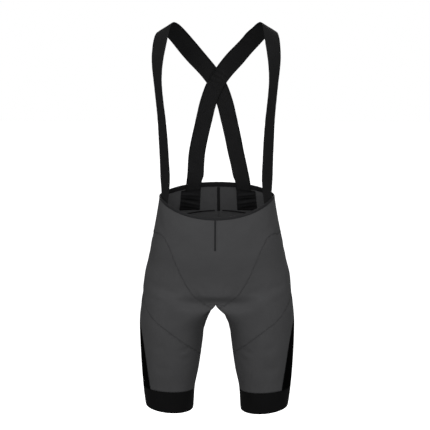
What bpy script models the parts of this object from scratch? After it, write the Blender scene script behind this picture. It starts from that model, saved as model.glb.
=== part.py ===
"""Cycling bib shorts, worn form with no wearer: a hollow pair of fitted shorts on two elastic braces.

Millimetres in the tables, metres in the scene. +Z is up and the front faces -Y. The origin lies between the
shoulders, level with the top of the braces where the wearer carries them. Left is the wearer's left, +X.

The shorts are one smooth form. A place on its left half is (around, drop): around is 0 at the centre front,
1 at the centre back and 1 to 1.5 along the inside of the leg, back to front; drop is the distance below the
waist, measured down the side. Every panel is a patch of that form between seams given in those two numbers.
"""

import math

import bmesh
import bpy
import numpy as np

MM = 0.001

# Cloth and trim thickness, and the distance between two cut edges that are sewn together.
WALL = 1.2
BINDING_WALL = 2.0
BINDING_PROUD = 0.4
TAPE_WALL = 1.0
STRAP_WALL = 1.3
SEAM_GAP = 0.5
GUSSET_GAP = 1.6
LAYER_GAP = 0.45

# Trim sizes.
FRONT_BINDING = 5.0
BACK_BINDING = 10.5
FRONT_TAPE_WIDTH = 4.0
FRONT_TAPE_LENGTH = 71.5
BACK_TAPE_WIDTH = 7.0
YOKE_TAPE_WIDTH = 3.0

# Braces.
STRAP_COLUMNS_ACROSS = 4
STRAP_STEPS = 46
FOOT_DEPTH = 2.7
CROSSING_LIFT = 1.3
CROSSING_TOP, CROSSING_BOTTOM, CROSSING_FADE = -85.0, -222.0, 45.0

# Rings of the trunk, top to bottom. thigh is how far the ring has turned into the tops of the two thighs.
TRUNK_COLUMNS = ("name", "front_z", "side_z", "back_z", "half_width", "front_y", "back_y", "thigh")
TRUNK_ROWS = (
    ("waist", -453, -407, -384, 136.0, -98, 88, 0.0),
    ("belly", -500, -455, -438, 144.0, -101, 94, 0.0),
    ("basque", -545, -505, -496, 154.0, -102, 106, 0.0),
    ("hip", -594, -560, -563, 165.0, -97, 117, 0.0),
    ("seat", -636, -600, -620, 172.5, -89, 110, 0.45),
    ("crotch", -658, -632, -659, 177.5, -70, 68, 1.0),
)

# Rings of a leg, top to bottom. Each is an oval; outer_rise and front_rise tilt it out of level.
# crotch_pull is how far its front and back inner corners are still drawn to the crotch.
LEG_COLUMNS = ("name", "height", "outer_rise", "front_rise", "centre_x", "half_width", "centre_y", "half_depth",
               "crotch_pull")
LEG_ROWS = (
    ("arch", -676, 16, 0, 99.0, 82.0, 3.0, 95.0, 0.48),
    ("upper thigh", -722, 8, 0, 108.2, 77.6, 1.0, 92.0, 0.10),
    ("thigh", -770, 4, 0, 110.5, 74.0, -1.5, 87.0, 0.0),
    ("lower thigh", -820, 3, 0, 112.8, 69.0, -3.0, 80.0, 0.0),
    ("band", -871, 4, 0, 115.8, 61.9, -4.0, 71.0, 0.0),
    ("hem", -918, 5, -5, 114.4, 57.6, -4.0, 65.0, 0.0),
)
THIGH_TOP = {"centre_x": 88.0, "half_width": 89.5, "centre_y": 4.0, "half_depth": 96.0}
CROTCH_SAG = 7.0
SQUARENESS = 0.035
LEG_START = math.radians(-30)
LEG_SWEEP = math.radians(240)
LEG_TURN = 1.5
CENTRE_REACH = 0.19
CORNER_REACH = 0.20
ON_CENTRE = 0.001
INSEAM_REACH = 0.15

# Where the seams run, as (around, drop).
SIDE = 0.53
SIDE_DROP = 88.0
V_TOP = (0.275, 77.0)
V_FOOT = (0.03, 229.0)
BACK_V_TOP = (0.72, 74.0)
BACK_V_FOOT = (0.975, 226.0)
BASQUE_SEAM = (V_TOP, (0.32, 76.0), (0.39, 84.0), (SIDE, SIDE_DROP))
YOKE_SIDE_SEAM = ((SIDE, SIDE_DROP), (0.63, 81.0), BACK_V_TOP)
YOKE_BACK_SEAM = (BACK_V_TOP, (0.85, 68.0), (0.92, 65.5), (1.0, 64.0))
FRONT_SEAM = (V_FOOT, (0.049, 216.0), (0.076, 198.0), (0.105, 179.0), (0.14, 158.0), (0.18, 126.0),
              (0.225, 95.0), V_TOP)
BACK_SEAM = (BACK_V_TOP, (0.745, 110.0), (0.79, 150.0), (0.88, 192.0), BACK_V_FOOT)
GUSSET_EDGE = (BACK_V_FOOT, (1.03, 236.0), (1.14, 249.0), (1.25, 252.0), (1.36, 249.5), (1.475, 240.0),
               (LEG_TURN + V_FOOT[0], V_FOOT[1]))
INSERT_TOP_FRONT = (0.585, 234.0)
INSERT_TOP_BACK = (0.645, 238.0)
BAND_TOP = 460.0
INSERT_FRONT = (INSERT_TOP_FRONT, (0.53, 260.0), (0.465, 288.0), (0.393, 324.0), (0.35, 369.0), (0.32, 415.0),
                (0.295, BAND_TOP))
INSERT_BACK = (INSERT_TOP_BACK, (0.665, 290.0), (0.69, 340.0), (0.72, 400.0), (0.75, BAND_TOP))
THIGH_SEAM = (
    INSERT_TOP_BACK, (0.71, 256.0), (0.79, 284.0), (0.89, 316.0), (1.0, 342.0), (1.11, 362.0), (1.22, 374.0),
    (1.31, 373.0), (1.385, 361.0), (1.5, 341.0), (1.565, 327.0), (1.625, 313.0), (1.675, 300.0),
    (1.74, 287.0), (1.81, 271.0), (1.87, 256.0), (1.94, 239.0), (2.01, 231.0),
    (LEG_TURN + INSERT_TOP_FRONT[0], INSERT_TOP_FRONT[1]),
)

# Gathered patch on the inside of the yoke, below the foot of each brace: places of its corners, its steps
# down, and the yoke's own depth there.
PATCH_INNER, PATCH_OUTER = 0.913, 0.79
PATCH_TOP, PATCH_INNER_FOOT, PATCH_OUTER_FOOT = 18.5, 60.5, 57.0
PATCH_STEPS = 4
YOKE_DEPTH = 68.0

# How many flat strips make up each seam and panel.
BASQUE_STEPS, FRONT_STEPS, YOKE_SIDE_STEPS, YOKE_BACK_STEPS, BACK_STEPS, GUSSET_STEPS = 5, 8, 4, 6, 7, 7
FRONT_ROWS, YOKE_ROWS, HIP_ROWS, GUSSET_ROWS, LEG_PANEL_ROWS, BAND_ROWS = 10, 4, 6, 2, 7, 2
INSERT_COLUMNS = 6

# The left brace, from inside the waist at the front, over the left shoulder, to inside the waist at the back
# on the right. facing is the way its face looks, 0 forwards, 90 outwards and 180 back; up is its tilt.
STRAP_COLUMNS = ("x", "y", "z", "facing", "up", "width")
STRAP_ROWS = (
    (120.5, -50.0, -368.0, 55, 0, 44),
    (121.8, -56.0, -320.0, 56, 0, 44.5),
    (123.8, -63.0, -273.0, 57, 0, 45),
    (126.6, -70.5, -226.0, 60, 0, 45),
    (131.1, -77.0, -180.0, 62, 0, 45),
    (134.9, -79.0, -134.0, 60, 2, 45),
    (135.5, -76.0, -110.0, 54, 5, 44.5),
    (134.8, -68.0, -84.0, 45, 12, 44),
    (132.0, -54.0, -56.0, 40, 26, 44),
    (128.0, -32.0, -28.0, 46, 44, 44),
    (121.0, 0.0, -11.0, 90, 58, 44),
    (109.0, 26.0, -16.0, 150, 46, 44.5),
    (93.0, 46.0, -33.0, 165, 30, 44.5),
    (74.0, 64.0, -55.0, 171, 22, 44.5),
    (50.0, 81.0, -81.0, 176, 16, 44.5),
    (20.0, 94.0, -114.0, 180, 10, 43.5),
    (-4.0, 99.5, -149.0, 180, 5, 42.5),
    (-20.0, 101.5, -190.0, 180, 1, 41.5),
    (-31.0, 101.0, -235.0, 182, -2, 41),
    (-42.0, 97.0, -283.0, 186, -4, 41),
    (-51.0, 90.0, -332.0, 189, -8, 41),
    (-57.0, 80.5, -374.0, 193, -8, 40.5),
)
CROSSING_SHIFT = -5.5
SHIFT_START, SHIFT_FULL, SHIFT_EASING, SHIFT_END = -30.0, -100.0, -300.0, -385.0
FRONT_FOOT_ROWS = ((0.362, 34.0), (0.362, 3.0))
BACK_FOOT_ROWS = ((0.866, 1.0), (0.866, 15.0))
FOOT_WIDTHS = (42.5, 40.0)

# The left brace lies this much nearer the neck than the right one, just behind the shoulder.
NECK_SHIFT = -4.5
NECK_START, NECK_FULL, NECK_EASING, NECK_END = -8.0, -26.0, -62.0, -104.0

COLOURS = {
    "grey_knit": ((0.051, 0.051, 0.051, 1), 0.78),
    "black_knit": ((0.006, 0.006, 0.006, 1), 0.62),
    "black_elastic": ((0.009, 0.009, 0.009, 1), 0.70),
    "charcoal_binding": ((0.024, 0.024, 0.024, 1), 0.68),
    "black_tape": ((0.010, 0.010, 0.010, 1), 0.50),
}


def rows_of(columns, rows):
    """The table as a list of dictionaries, one for each row."""
    return [dict(zip(columns, row)) for row in rows]


TRUNK = rows_of(TRUNK_COLUMNS, TRUNK_ROWS)
LEG = rows_of(LEG_COLUMNS, LEG_ROWS)
WAIST_SIDE = TRUNK[0]["side_z"]
TRUNK_DROPS = [WAIST_SIDE - row["side_z"] for row in TRUNK]
LEG_DROPS = [WAIST_SIDE - row["height"] - row["outer_rise"] for row in LEG]
DROPS = np.array(TRUNK_DROPS + LEG_DROPS, float)
CROTCH_ROW = len(TRUNK) - 1
CROTCH_DROP = DROPS[CROTCH_ROW]
HEM_DROP = DROPS[-1]


def ease(share):
    """0 to 1 with level ends."""
    share = np.clip(share, 0, 1)
    return share * share * (3 - 2 * share)


def oval(row, around, height):
    """Points of a thigh's oval."""
    angle = LEG_START + LEG_SWEEP * around
    across = row["centre_x"] + row["half_width"] * np.sin(angle)
    along = row["centre_y"] - row["half_depth"] * np.cos(angle)
    return np.stack([across, along, height + 0 * angle], axis=-1)


def trunk_ring(row, around):
    """Half a ring of the trunk, from the centre front round the side to the centre back."""
    angle = math.pi * around
    middle = (row["front_y"] + row["back_y"]) / 2
    depth = (row["back_y"] - row["front_y"]) / 2
    across = (np.sin(angle) + SQUARENESS * np.sin(3 * angle)) / (1 - SQUARENESS)
    along = (np.cos(angle) - SQUARENESS * np.cos(3 * angle)) / (1 - SQUARENESS)
    end_z = np.where(around < 0.5, row["front_z"], row["back_z"])
    height = row["side_z"] + (end_z - row["side_z"]) * np.cos(angle) ** 2
    ring = np.stack([row["half_width"] * across, middle - depth * along, height], axis=-1)
    turned = row["thigh"] * ease(np.minimum(around, 1 - around) / CENTRE_REACH)[..., None]
    return ring * (1 - turned) + oval(THIGH_TOP, around, height) * turned


def leg_ring(row, around):
    """A whole ring of the left leg."""
    angle = LEG_START + LEG_SWEEP * around
    height = row["height"] + row["outer_rise"] * np.sin(angle) + row["front_rise"] * np.cos(angle)
    ring = oval(row, around, height)
    from_front = np.minimum(around, LEG_TURN - around)
    for distance, corner_y in ((from_front, TRUNK[-1]["front_y"]), (np.abs(around - 1), TRUNK[-1]["back_y"])):
        pull = (row["crotch_pull"] * (1 - ease(distance / CORNER_REACH)))[..., None]
        corner = np.stack([0 * height, corner_y + 0 * height, height], axis=-1)
        ring = ring * (1 - pull) + corner * pull
    return ring


def crotch_line(around):
    """The line under the crotch, from the back of the leg's inside to the front."""
    share = (around - 1) / (LEG_TURN - 1)
    back = trunk_ring(TRUNK[-1], np.ones_like(around))
    front = trunk_ring(TRUNK[-1], np.zeros_like(around))
    line = back + (front - back) * share[..., None]
    line[..., 2] -= CROTCH_SAG * np.sin(math.pi * share)
    return line


def steady_slopes(knots, values):
    """Slopes at the knots for a cubic that never swings past its rows."""
    steps = np.diff(knots)[:, None, None]
    rises = np.diff(values, axis=0) / steps
    before, after = rises[:-1], rises[1:]
    heavy, light = 2 * steps[1:] + steps[:-1], steps[1:] + 2 * steps[:-1]
    same = before * after > 0
    inner = (heavy + light) / (heavy / np.where(same, before, 1) + light / np.where(same, after, 1))
    return np.concatenate([rises[:1], np.where(same, inner, 0), rises[-1:]])


def between(knots, values, slopes, at):
    """The cubic through the rows of values, each column read at its own place."""
    row = np.clip(np.searchsorted(knots, at, side="right") - 1, 0, len(knots) - 2)
    column = np.arange(len(at))
    step = (knots[row + 1] - knots[row])[:, None]
    share = (at - knots[row])[:, None] / step
    low, high = values[row, column], values[row + 1, column]
    leave, arrive = slopes[row, column] * step, slopes[row + 1, column] * step
    from_low = (low * (1 + 2 * share) + leave * share) * (1 - share) ** 2
    from_high = (high * (3 - 2 * share) - arrive * (1 - share)) * share ** 2
    return from_low + from_high


def outer_rows(around):
    """Every ring's points round the outside of the left half, and their slopes."""
    values = np.stack([trunk_ring(row, around) for row in TRUNK] + [leg_ring(row, around) for row in LEG])
    return values, steady_slopes(DROPS, values)


def inner_rows(around):
    """Every leg ring's points along the inside of the leg, from the crotch line down, and their slopes."""
    knots = DROPS[CROTCH_ROW:]
    values = np.stack([crotch_line(around)] + [leg_ring(row, around) for row in LEG])
    slopes = steady_slopes(knots, values)
    for end in (1.0, LEG_TURN):
        edge_values, edge_slopes = outer_rows(np.array([end % LEG_TURN]))
        chord = (edge_values[CROTCH_ROW + 1] - edge_values[CROTCH_ROW]) / (knots[1] - knots[0])
        fade = 1 - ease(np.abs(around - end) / INSEAM_REACH)
        slopes[0] += (edge_slopes[CROTCH_ROW] - chord) * fade[:, None]
    return values, slopes


def form(around, drop):
    """Points of the left half of the shorts' outer face."""
    shape = np.broadcast(around, drop).shape
    around = np.broadcast_to(np.asarray(around, float), shape).ravel() % LEG_TURN
    drop = np.broadcast_to(np.asarray(drop, float), shape).ravel()
    points = np.zeros((len(around), 3))
    outside = around <= 1
    if outside.any():
        points[outside] = between(DROPS, *outer_rows(around[outside]), drop[outside])
    if not outside.all():
        points[~outside] = between(DROPS[CROTCH_ROW:], *inner_rows(around[~outside]), drop[~outside])
    return points.reshape(shape + (3,))


def patch(places):
    """The form's points at a grid of places."""
    return form(places[..., 0], places[..., 1])


def curve_through(knots, count):
    """count even steps along a smooth seam through its own few places."""
    knots = np.array(knots, float)
    steps = np.linalg.norm(np.diff(knots * (350.0, 1.0), axis=0), axis=1)
    along = np.concatenate([[0], np.cumsum(steps)])
    at = np.linspace(0, along[-1], count + 1)
    values = np.repeat(knots[:, None, :], len(at), axis=1)
    return between(along, values, steady_slopes(along, values), at)


def height_along(knots, arounds):
    """Places on a seam that goes round, at the arounds asked for."""
    knots = np.array(knots, float)
    values = np.repeat(knots[:, None, 1:], len(arounds), axis=1)
    drops = between(knots[:, 0], values, steady_slopes(knots[:, 0], values), arounds)
    return np.column_stack([arounds, drops])


def straight(start, end, count):
    """count even steps along a straight seam."""
    return np.linspace(start, end, count + 1)


def joined(*seams):
    """Seams end to end as one."""
    return np.concatenate([seams[0]] + [seam[1:] for seam in seams[1:]])


def next_turn(seam):
    """The same seam, counted from one turn further round the leg."""
    return seam + (LEG_TURN, 0.0)


def rescaled(values, low, high):
    """The values spread over another range in the same proportions."""
    return low + (values - values[0]) * (high - low) / (values[-1] - values[0])


def fill(top, bottom, left, right):
    """A grid of places between four seams; top and bottom run round, left and right run down."""
    a = np.linspace(0, 1, len(top))[None, :, None]
    b = np.linspace(0, 1, len(left))[:, None, None]
    corners = (
        (1 - a) * (1 - b) * top[0] + a * (1 - b) * top[-1]
        + (1 - a) * b * bottom[0] + a * b * bottom[-1]
    )
    return (1 - b) * top[None] + b * bottom[None] + (1 - a) * left[:, None] + a * right[:, None] - corners


def shorts_grids():
    """Each panel of the left half as a grid of points on the form."""
    basque = curve_through(BASQUE_SEAM, BASQUE_STEPS)
    front = curve_through(FRONT_SEAM, FRONT_STEPS)
    yoke_side = curve_through(YOKE_SIDE_SEAM, YOKE_SIDE_STEPS)
    yoke_back = curve_through(YOKE_BACK_SEAM, YOKE_BACK_STEPS)
    back = curve_through(BACK_SEAM, BACK_STEPS)
    gusset = curve_through(GUSSET_EDGE, GUSSET_STEPS)
    front_end = straight((0.0, CROTCH_DROP), V_FOOT, 1)
    crotch = straight((1.0, CROTCH_DROP), (LEG_TURN, CROTCH_DROP), GUSSET_STEPS)

    grids = {}
    front_bottom = joined(front_end, front, basque)
    front_waist = straight((0.0, FRONT_BINDING), (SIDE, FRONT_BINDING), len(front_bottom) - 1)
    grids["front"] = patch(fill(
        front_waist, front_bottom,
        straight(front_waist[0], front_bottom[0], FRONT_ROWS),
        straight(front_waist[-1], front_bottom[-1], FRONT_ROWS),
    ))
    yoke_bottom = joined(yoke_side, yoke_back)
    back_waist = straight((SIDE, BACK_BINDING), (1.0, BACK_BINDING), len(yoke_bottom) - 1)
    grids["yoke"] = patch(fill(
        back_waist, yoke_bottom,
        straight(back_waist[0], yoke_bottom[0], YOKE_ROWS),
        straight(back_waist[-1], yoke_bottom[-1], YOKE_ROWS),
    ))
    grids["seat"] = patch(fill(
        yoke_back, straight(BACK_V_FOOT, (1.0, CROTCH_DROP), YOKE_BACK_STEPS),
        back, straight(yoke_back[-1], (1.0, CROTCH_DROP), BACK_STEPS),
    ))
    hip_top = joined(yoke_side, back, gusset, next_turn(front), next_turn(basque))
    thigh_arounds = rescaled(hip_top[1:-1, 0], INSERT_TOP_BACK[0], LEG_TURN + INSERT_TOP_FRONT[0])
    thigh = height_along(THIGH_SEAM, thigh_arounds)
    insert_middle = (np.array([INSERT_TOP_FRONT]) + INSERT_TOP_BACK) / 2
    hip_bottom = np.concatenate([insert_middle, thigh, next_turn(insert_middle)])
    side_line = straight(hip_top[0], hip_bottom[0], HIP_ROWS)
    grids["hip"] = patch(fill(hip_top, hip_bottom, side_line, next_turn(side_line)))
    grids["gusset"] = patch(fill(
        crotch, gusset,
        straight(crotch[0], gusset[0], GUSSET_ROWS), straight(crotch[-1], gusset[-1], GUSSET_ROWS),
    ))
    insert_front = curve_through(INSERT_FRONT, LEG_PANEL_ROWS)
    insert_back = curve_through(INSERT_BACK, LEG_PANEL_ROWS)
    leg_arounds = rescaled(thigh_arounds, insert_back[-1, 0], LEG_TURN + insert_front[-1, 0])
    leg_bottom = np.column_stack([leg_arounds, np.full(len(leg_arounds), BAND_TOP)])
    grids["leg"] = patch(fill(thigh, leg_bottom, insert_back, next_turn(insert_front)))
    insert_bottom = straight(insert_front[-1], insert_back[-1], INSERT_COLUMNS)
    grids["insert"] = patch(fill(
        straight(INSERT_TOP_FRONT, INSERT_TOP_BACK, INSERT_COLUMNS), insert_bottom, insert_front, insert_back,
    ))
    band_top = joined(insert_bottom, leg_bottom)
    band_drops = np.linspace(BAND_TOP, HEM_DROP, BAND_ROWS + 1)
    band = np.stack([band_top * (1, 0) + (0, drop) for drop in band_drops])
    grids["band"] = patch(band)
    grids["front_binding"] = patch(np.stack([front_waist * (1, 0), front_waist]))
    grids["back_binding"] = patch(np.stack([back_waist * (1, 0), back_waist]))
    return grids


def reverse_side(grid):
    """The same grid on the wearer's right, still facing out."""
    return (grid * (-1.0, 1.0, 1.0))[:, ::-1]


def normals_of(grid):
    """Unit normals at a grid's points, facing out; on the centre line they keep to it."""
    down, across = np.gradient(grid, axis=0), np.gradient(grid, axis=1)
    normal = np.cross(down, across)
    normal[np.abs(grid[..., 0]) < ON_CENTRE, 0] = 0
    return normal / np.linalg.norm(normal, axis=-1, keepdims=True)


def read_grid(grid, rows, columns):
    """A grid's points between its own rows and columns."""
    row, column = np.floor(rows).astype(int), np.floor(columns).astype(int)
    row, column = np.minimum(row, grid.shape[0] - 2), np.minimum(column, grid.shape[1] - 2)
    down, across = (rows - row)[..., None], (columns - column)[..., None]
    upper = grid[row, column] * (1 - across) + grid[row, column + 1] * across
    lower = grid[row + 1, column] * (1 - across) + grid[row + 1, column + 1] * across
    return upper * (1 - down) + lower * down


def laid_on(grid, rows, columns, out):
    """Points that lie on a panel, moved out by a distance, or in when it is negative."""
    rows, columns = np.broadcast_arrays(rows, columns)
    return read_grid(grid, rows, columns) + read_grid(normals_of(grid), rows, columns) * out


def lines_between(low, high):
    """A panel's own lines between two places, with the two places as ends."""
    return np.array([low, *range(math.floor(low) + 1, math.ceil(high)), high], float)


def row_at_height(grid, column, z):
    """Where on a panel's column a height lies, counted in rows."""
    heights = grid[:, column, 2]
    return float(np.interp(-z, -heights, np.arange(len(heights))))


def spacing(grid, row, column):
    """The distance from a panel's column to the next one in."""
    nearby = column + 1 if column == 0 else column - 1
    return np.linalg.norm(grid[row, nearby] - grid[row, column])


def foot_row(place, width, sign):
    """A brace's points across its width where it lies inside the waist; sign -1 is the wearer's right."""
    around, drop = place
    reach = np.linalg.norm(form(around + 0.01, drop) - form(around - 0.01, drop)) / 0.02
    offsets = np.linspace(-0.5, 0.5, STRAP_COLUMNS_ACROSS + 1) * width
    at = around - offsets / reach
    step = 0.004
    across = form(at + step, drop) - form(at - step, drop)
    down = form(at, drop + 1.0) - form(at, drop)
    normal = np.cross(down, across)
    normal /= np.linalg.norm(normal, axis=-1, keepdims=True)
    return (form(at, drop) - normal * FOOT_DEPTH) * (sign, 1.0, 1.0)


def strap_grid():
    """The left brace as a ribbon of points, from its front foot to its back foot."""
    rows = rows_of(STRAP_COLUMNS, STRAP_ROWS)
    centres = np.array([[row["x"], row["y"], row["z"]] for row in rows])
    tangents = np.gradient(centres, axis=0)
    offsets = np.linspace(-0.5, 0.5, STRAP_COLUMNS_ACROSS + 1)[:, None]
    keys = [foot_row(place, FOOT_WIDTHS[0], 1.0) for place in FRONT_FOOT_ROWS]
    for row, centre, tangent in zip(rows, centres, tangents):
        facing, up = math.radians(row["facing"]), math.radians(row["up"])
        normal = (math.sin(facing) * math.cos(up), -math.cos(facing) * math.cos(up), math.sin(up))
        across = np.cross(normal, tangent)
        keys.append(centre + offsets * row["width"] * across / np.linalg.norm(across))
    keys += [foot_row(place, FOOT_WIDTHS[1], -1.0) for place in BACK_FOOT_ROWS]
    keys = np.array(keys)
    middle = keys[:, STRAP_COLUMNS_ACROSS // 2]
    along = np.concatenate([[0], np.cumsum(np.linalg.norm(np.diff(middle, axis=0), axis=1))])
    slopes = np.gradient(keys, along, axis=0)
    width = keys.shape[1]
    at = np.linspace(0, along[-1], STRAP_STEPS + 1)
    return np.array([between(along, keys, slopes, np.full(width, place)) for place in at])


def crossed(grid, distance, neck_shift=0.0):
    """A brace at the crossing: moved back, or forward when negative, and the crossing a little off centre.
    neck_shift moves it sideways just behind the shoulder."""
    height, behind = grid[..., 2], grid[..., 1] > 0
    above = ease((CROSSING_TOP + CROSSING_FADE - height) / CROSSING_FADE)
    below = ease((height - CROSSING_BOTTOM + CROSSING_FADE) / CROSSING_FADE)
    aside = ease((SHIFT_START - height) / (SHIFT_START - SHIFT_FULL))
    aside = aside * ease((height - SHIFT_END) / (SHIFT_EASING - SHIFT_END))
    neck = ease((NECK_START - height) / (NECK_START - NECK_FULL))
    neck = neck * ease((height - NECK_END) / (NECK_EASING - NECK_END))
    moved = grid.copy()
    moved[..., 0] += (CROSSING_SHIFT * aside + neck_shift * neck) * behind
    moved[..., 1] += distance * above * below * behind
    return moved


def add_grid(mesh, points):
    """A grid of quads through the points, rows down and columns across."""
    rows, columns = points.shape[:2]
    corners = [[mesh.verts.new(point) for point in row] for row in points]
    for i in range(rows - 1):
        for j in range(columns - 1):
            mesh.faces.new((corners[i][j], corners[i + 1][j], corners[i + 1][j + 1], corners[i][j + 1]))


def draw_in_edges(mesh, distance):
    """Moves the cut edge of an open surface inwards, along the cloth."""
    moves = {}
    for edge in mesh.edges:
        if len(edge.link_faces) != 1:
            continue
        face = edge.link_faces[0]
        inward = face.normal.cross((edge.verts[1].co - edge.verts[0].co).normalized())
        if inward.dot(face.calc_center_median() - edge.verts[0].co) < 0:
            inward.negate()
        for vertex in edge.verts:
            moves.setdefault(vertex, []).append(inward)
    for vertex, (first, second) in moves.items():
        vertex.co += (first + second) * (distance / max(0.4, 1 + first.dot(second)))


def material_of(name):
    """The named cloth or trim finish."""
    found = bpy.data.materials.get(name)
    if found:
        return found
    colour, roughness = COLOURS[name]
    made = bpy.data.materials.new(name)
    made.use_nodes = True
    shader = made.node_tree.nodes["Principled BSDF"]
    shader.inputs["Base Color"].default_value = colour
    shader.inputs["Roughness"].default_value = roughness
    shader.inputs["Metallic"].default_value = 0.0
    return made


def sew(name, material, grids, wall=WALL, outwards=False, gap=SEAM_GAP):
    """A cut piece: its grids joined into one open surface, drawn in at its edges, with its thickness."""
    mesh = bmesh.new()
    for grid in grids:
        add_grid(mesh, grid * MM)
    bmesh.ops.remove_doubles(mesh, verts=mesh.verts, dist=1e-6)
    mesh.normal_update()
    draw_in_edges(mesh, gap / 2 * MM)
    data = bpy.data.meshes.new(name)
    mesh.to_mesh(data)
    mesh.free()
    data.materials.append(material_of(material))
    data.shade_smooth()
    piece = bpy.data.objects.new(name, data)
    bpy.data.collections["bib_shorts"].objects.link(piece)
    thickness = piece.modifiers.new("cloth thickness", "SOLIDIFY")
    thickness.thickness = wall * MM
    thickness.offset = 1.0 if outwards else -1.0
    return piece


def both_sides(name, material, grid, **options):
    """The same piece on the wearer's left and right."""
    sew(name + "_left", material, [grid], **options)
    sew(name + "_right", material, [reverse_side(grid)], **options)


def build_panels(grids):
    """The cut panels of the shorts."""
    sew("front_panel", "grey_knit", [grids["front"], reverse_side(grids["front"])])
    both_sides("back_yoke", "grey_knit", grids["yoke"])
    both_sides("seat_panel", "grey_knit", grids["seat"])
    both_sides("hip_panel", "grey_knit", grids["hip"])
    sew("crotch_gusset", "grey_knit", [grids["gusset"], reverse_side(grids["gusset"])], gap=GUSSET_GAP)
    both_sides("leg_panel", "grey_knit", grids["leg"])
    both_sides("side_insert", "black_knit", grids["insert"])
    both_sides("hem_band", "black_elastic", grids["band"])


def build_bindings(grids):
    """The folded edging round the top of the shorts, a little proud of the panels it is sewn to."""
    for name, material, grid in (
        ("waist_binding_front", "charcoal_binding", grids["front_binding"]),
        ("waist_binding_back", "black_elastic", grids["back_binding"]),
    ):
        raised = grid + normals_of(grid) * BINDING_PROUD
        sew(name, material, [raised, reverse_side(raised)], wall=BINDING_WALL)


def build_front_tape(front):
    """The raised tape down the centre front."""
    bottom = row_at_height(front, 0, front[0, 0, 2] - FRONT_TAPE_LENGTH)
    rows = lines_between(0, bottom)[:, None]
    columns = np.array([0, FRONT_TAPE_WIDTH / 2 / spacing(front, 0, 0)])[None]
    half = laid_on(front, rows, columns, LAYER_GAP)
    sew("front_seam_tape", "charcoal_binding", [half, reverse_side(half)], wall=TAPE_WALL, outwards=True)


def build_back_tapes(yoke):
    """The tapes over the yoke's seams, inside the back."""
    last_row, last_column = yoke.shape[0] - 1, yoke.shape[1] - 1
    inside = -(WALL + LAYER_GAP)
    edge = last_column - BACK_TAPE_WIDTH / 2 / spacing(yoke, 0, last_column)
    half = laid_on(yoke, np.arange(last_row + 1.0)[:, None], np.array([edge, last_column])[None], inside)
    sew("back_seam_tape", "black_tape", [half, reverse_side(half)], wall=TAPE_WALL)
    height = YOKE_TAPE_WIDTH / np.linalg.norm(yoke[-1, 0] - yoke[-2, 0])
    columns = lines_between(0, edge)[None]
    both_sides(
        "yoke_seam_tape", "black_tape",
        laid_on(yoke, np.array([last_row - height, last_row])[:, None], columns, inside), wall=TAPE_WALL,
    )


def build_patches(yoke):
    """The stretch patch inside the yoke below each brace."""
    across = yoke.shape[1] - 1
    outer = (PATCH_OUTER - SIDE) / (1 - SIDE) * across
    inner = (PATCH_INNER - SIDE) / (1 - SIDE) * across
    columns = lines_between(outer, inner)
    feet = np.interp(columns, (outer, inner), (PATCH_OUTER_FOOT, PATCH_INNER_FOOT))
    down = (yoke.shape[0] - 1) / (YOKE_DEPTH - BACK_BINDING)
    top = (PATCH_TOP - BACK_BINDING) * down
    bottoms = (feet - BACK_BINDING) * down
    rows = top + (bottoms - top) * np.linspace(0, 1, PATCH_STEPS + 1)[:, None]
    both_sides(
        "strap_anchor", "black_elastic",
        laid_on(yoke, rows, columns[None], -(WALL + LAYER_GAP)), wall=WALL,
    )


def build_braces():
    """Two braces that cross at the back; the left one passes next to the wearer."""
    grid = strap_grid()
    sew("strap_left", "black_elastic", [crossed(grid, -CROSSING_LIFT, NECK_SHIFT)], wall=STRAP_WALL, gap=0)
    sew("strap_right", "black_elastic", [crossed(reverse_side(grid), CROSSING_LIFT)], wall=STRAP_WALL, gap=0)


def clear_scene():
    """Removes what a new file starts with, and makes the collection for the shorts."""
    for found in list(bpy.data.objects):
        bpy.data.objects.remove(found)
    collection = bpy.data.collections.new("bib_shorts")
    bpy.context.scene.collection.children.link(collection)


def main():
    clear_scene()
    grids = shorts_grids()
    build_panels(grids)
    build_bindings(grids)
    build_front_tape(grids["front"])
    build_back_tapes(grids["yoke"])
    build_patches(grids["yoke"])
    build_braces()


main()
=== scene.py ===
"""Looks of the cycling bib shorts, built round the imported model: worn form, no wearer.

Tables and grids are in millimetres, meshes in metres, in the model's own frame: +Z up, front facing -Y, the
origin between the shoulders level with the top of the braces, +X the wearer's left.

The shorts are one smooth form. A place on its left half is (around, drop): around is 0 at the centre front,
1 at the centre back and 1 to 1.5 along the inside of the leg, back to front; drop is the distance below the
waist, measured down the side. Every panel is a patch of that form between seams given in those two numbers,
and what is added here is the cloth's own surface: creases, seams that sink, stitches, knit and ribs.
"""

import math

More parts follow.
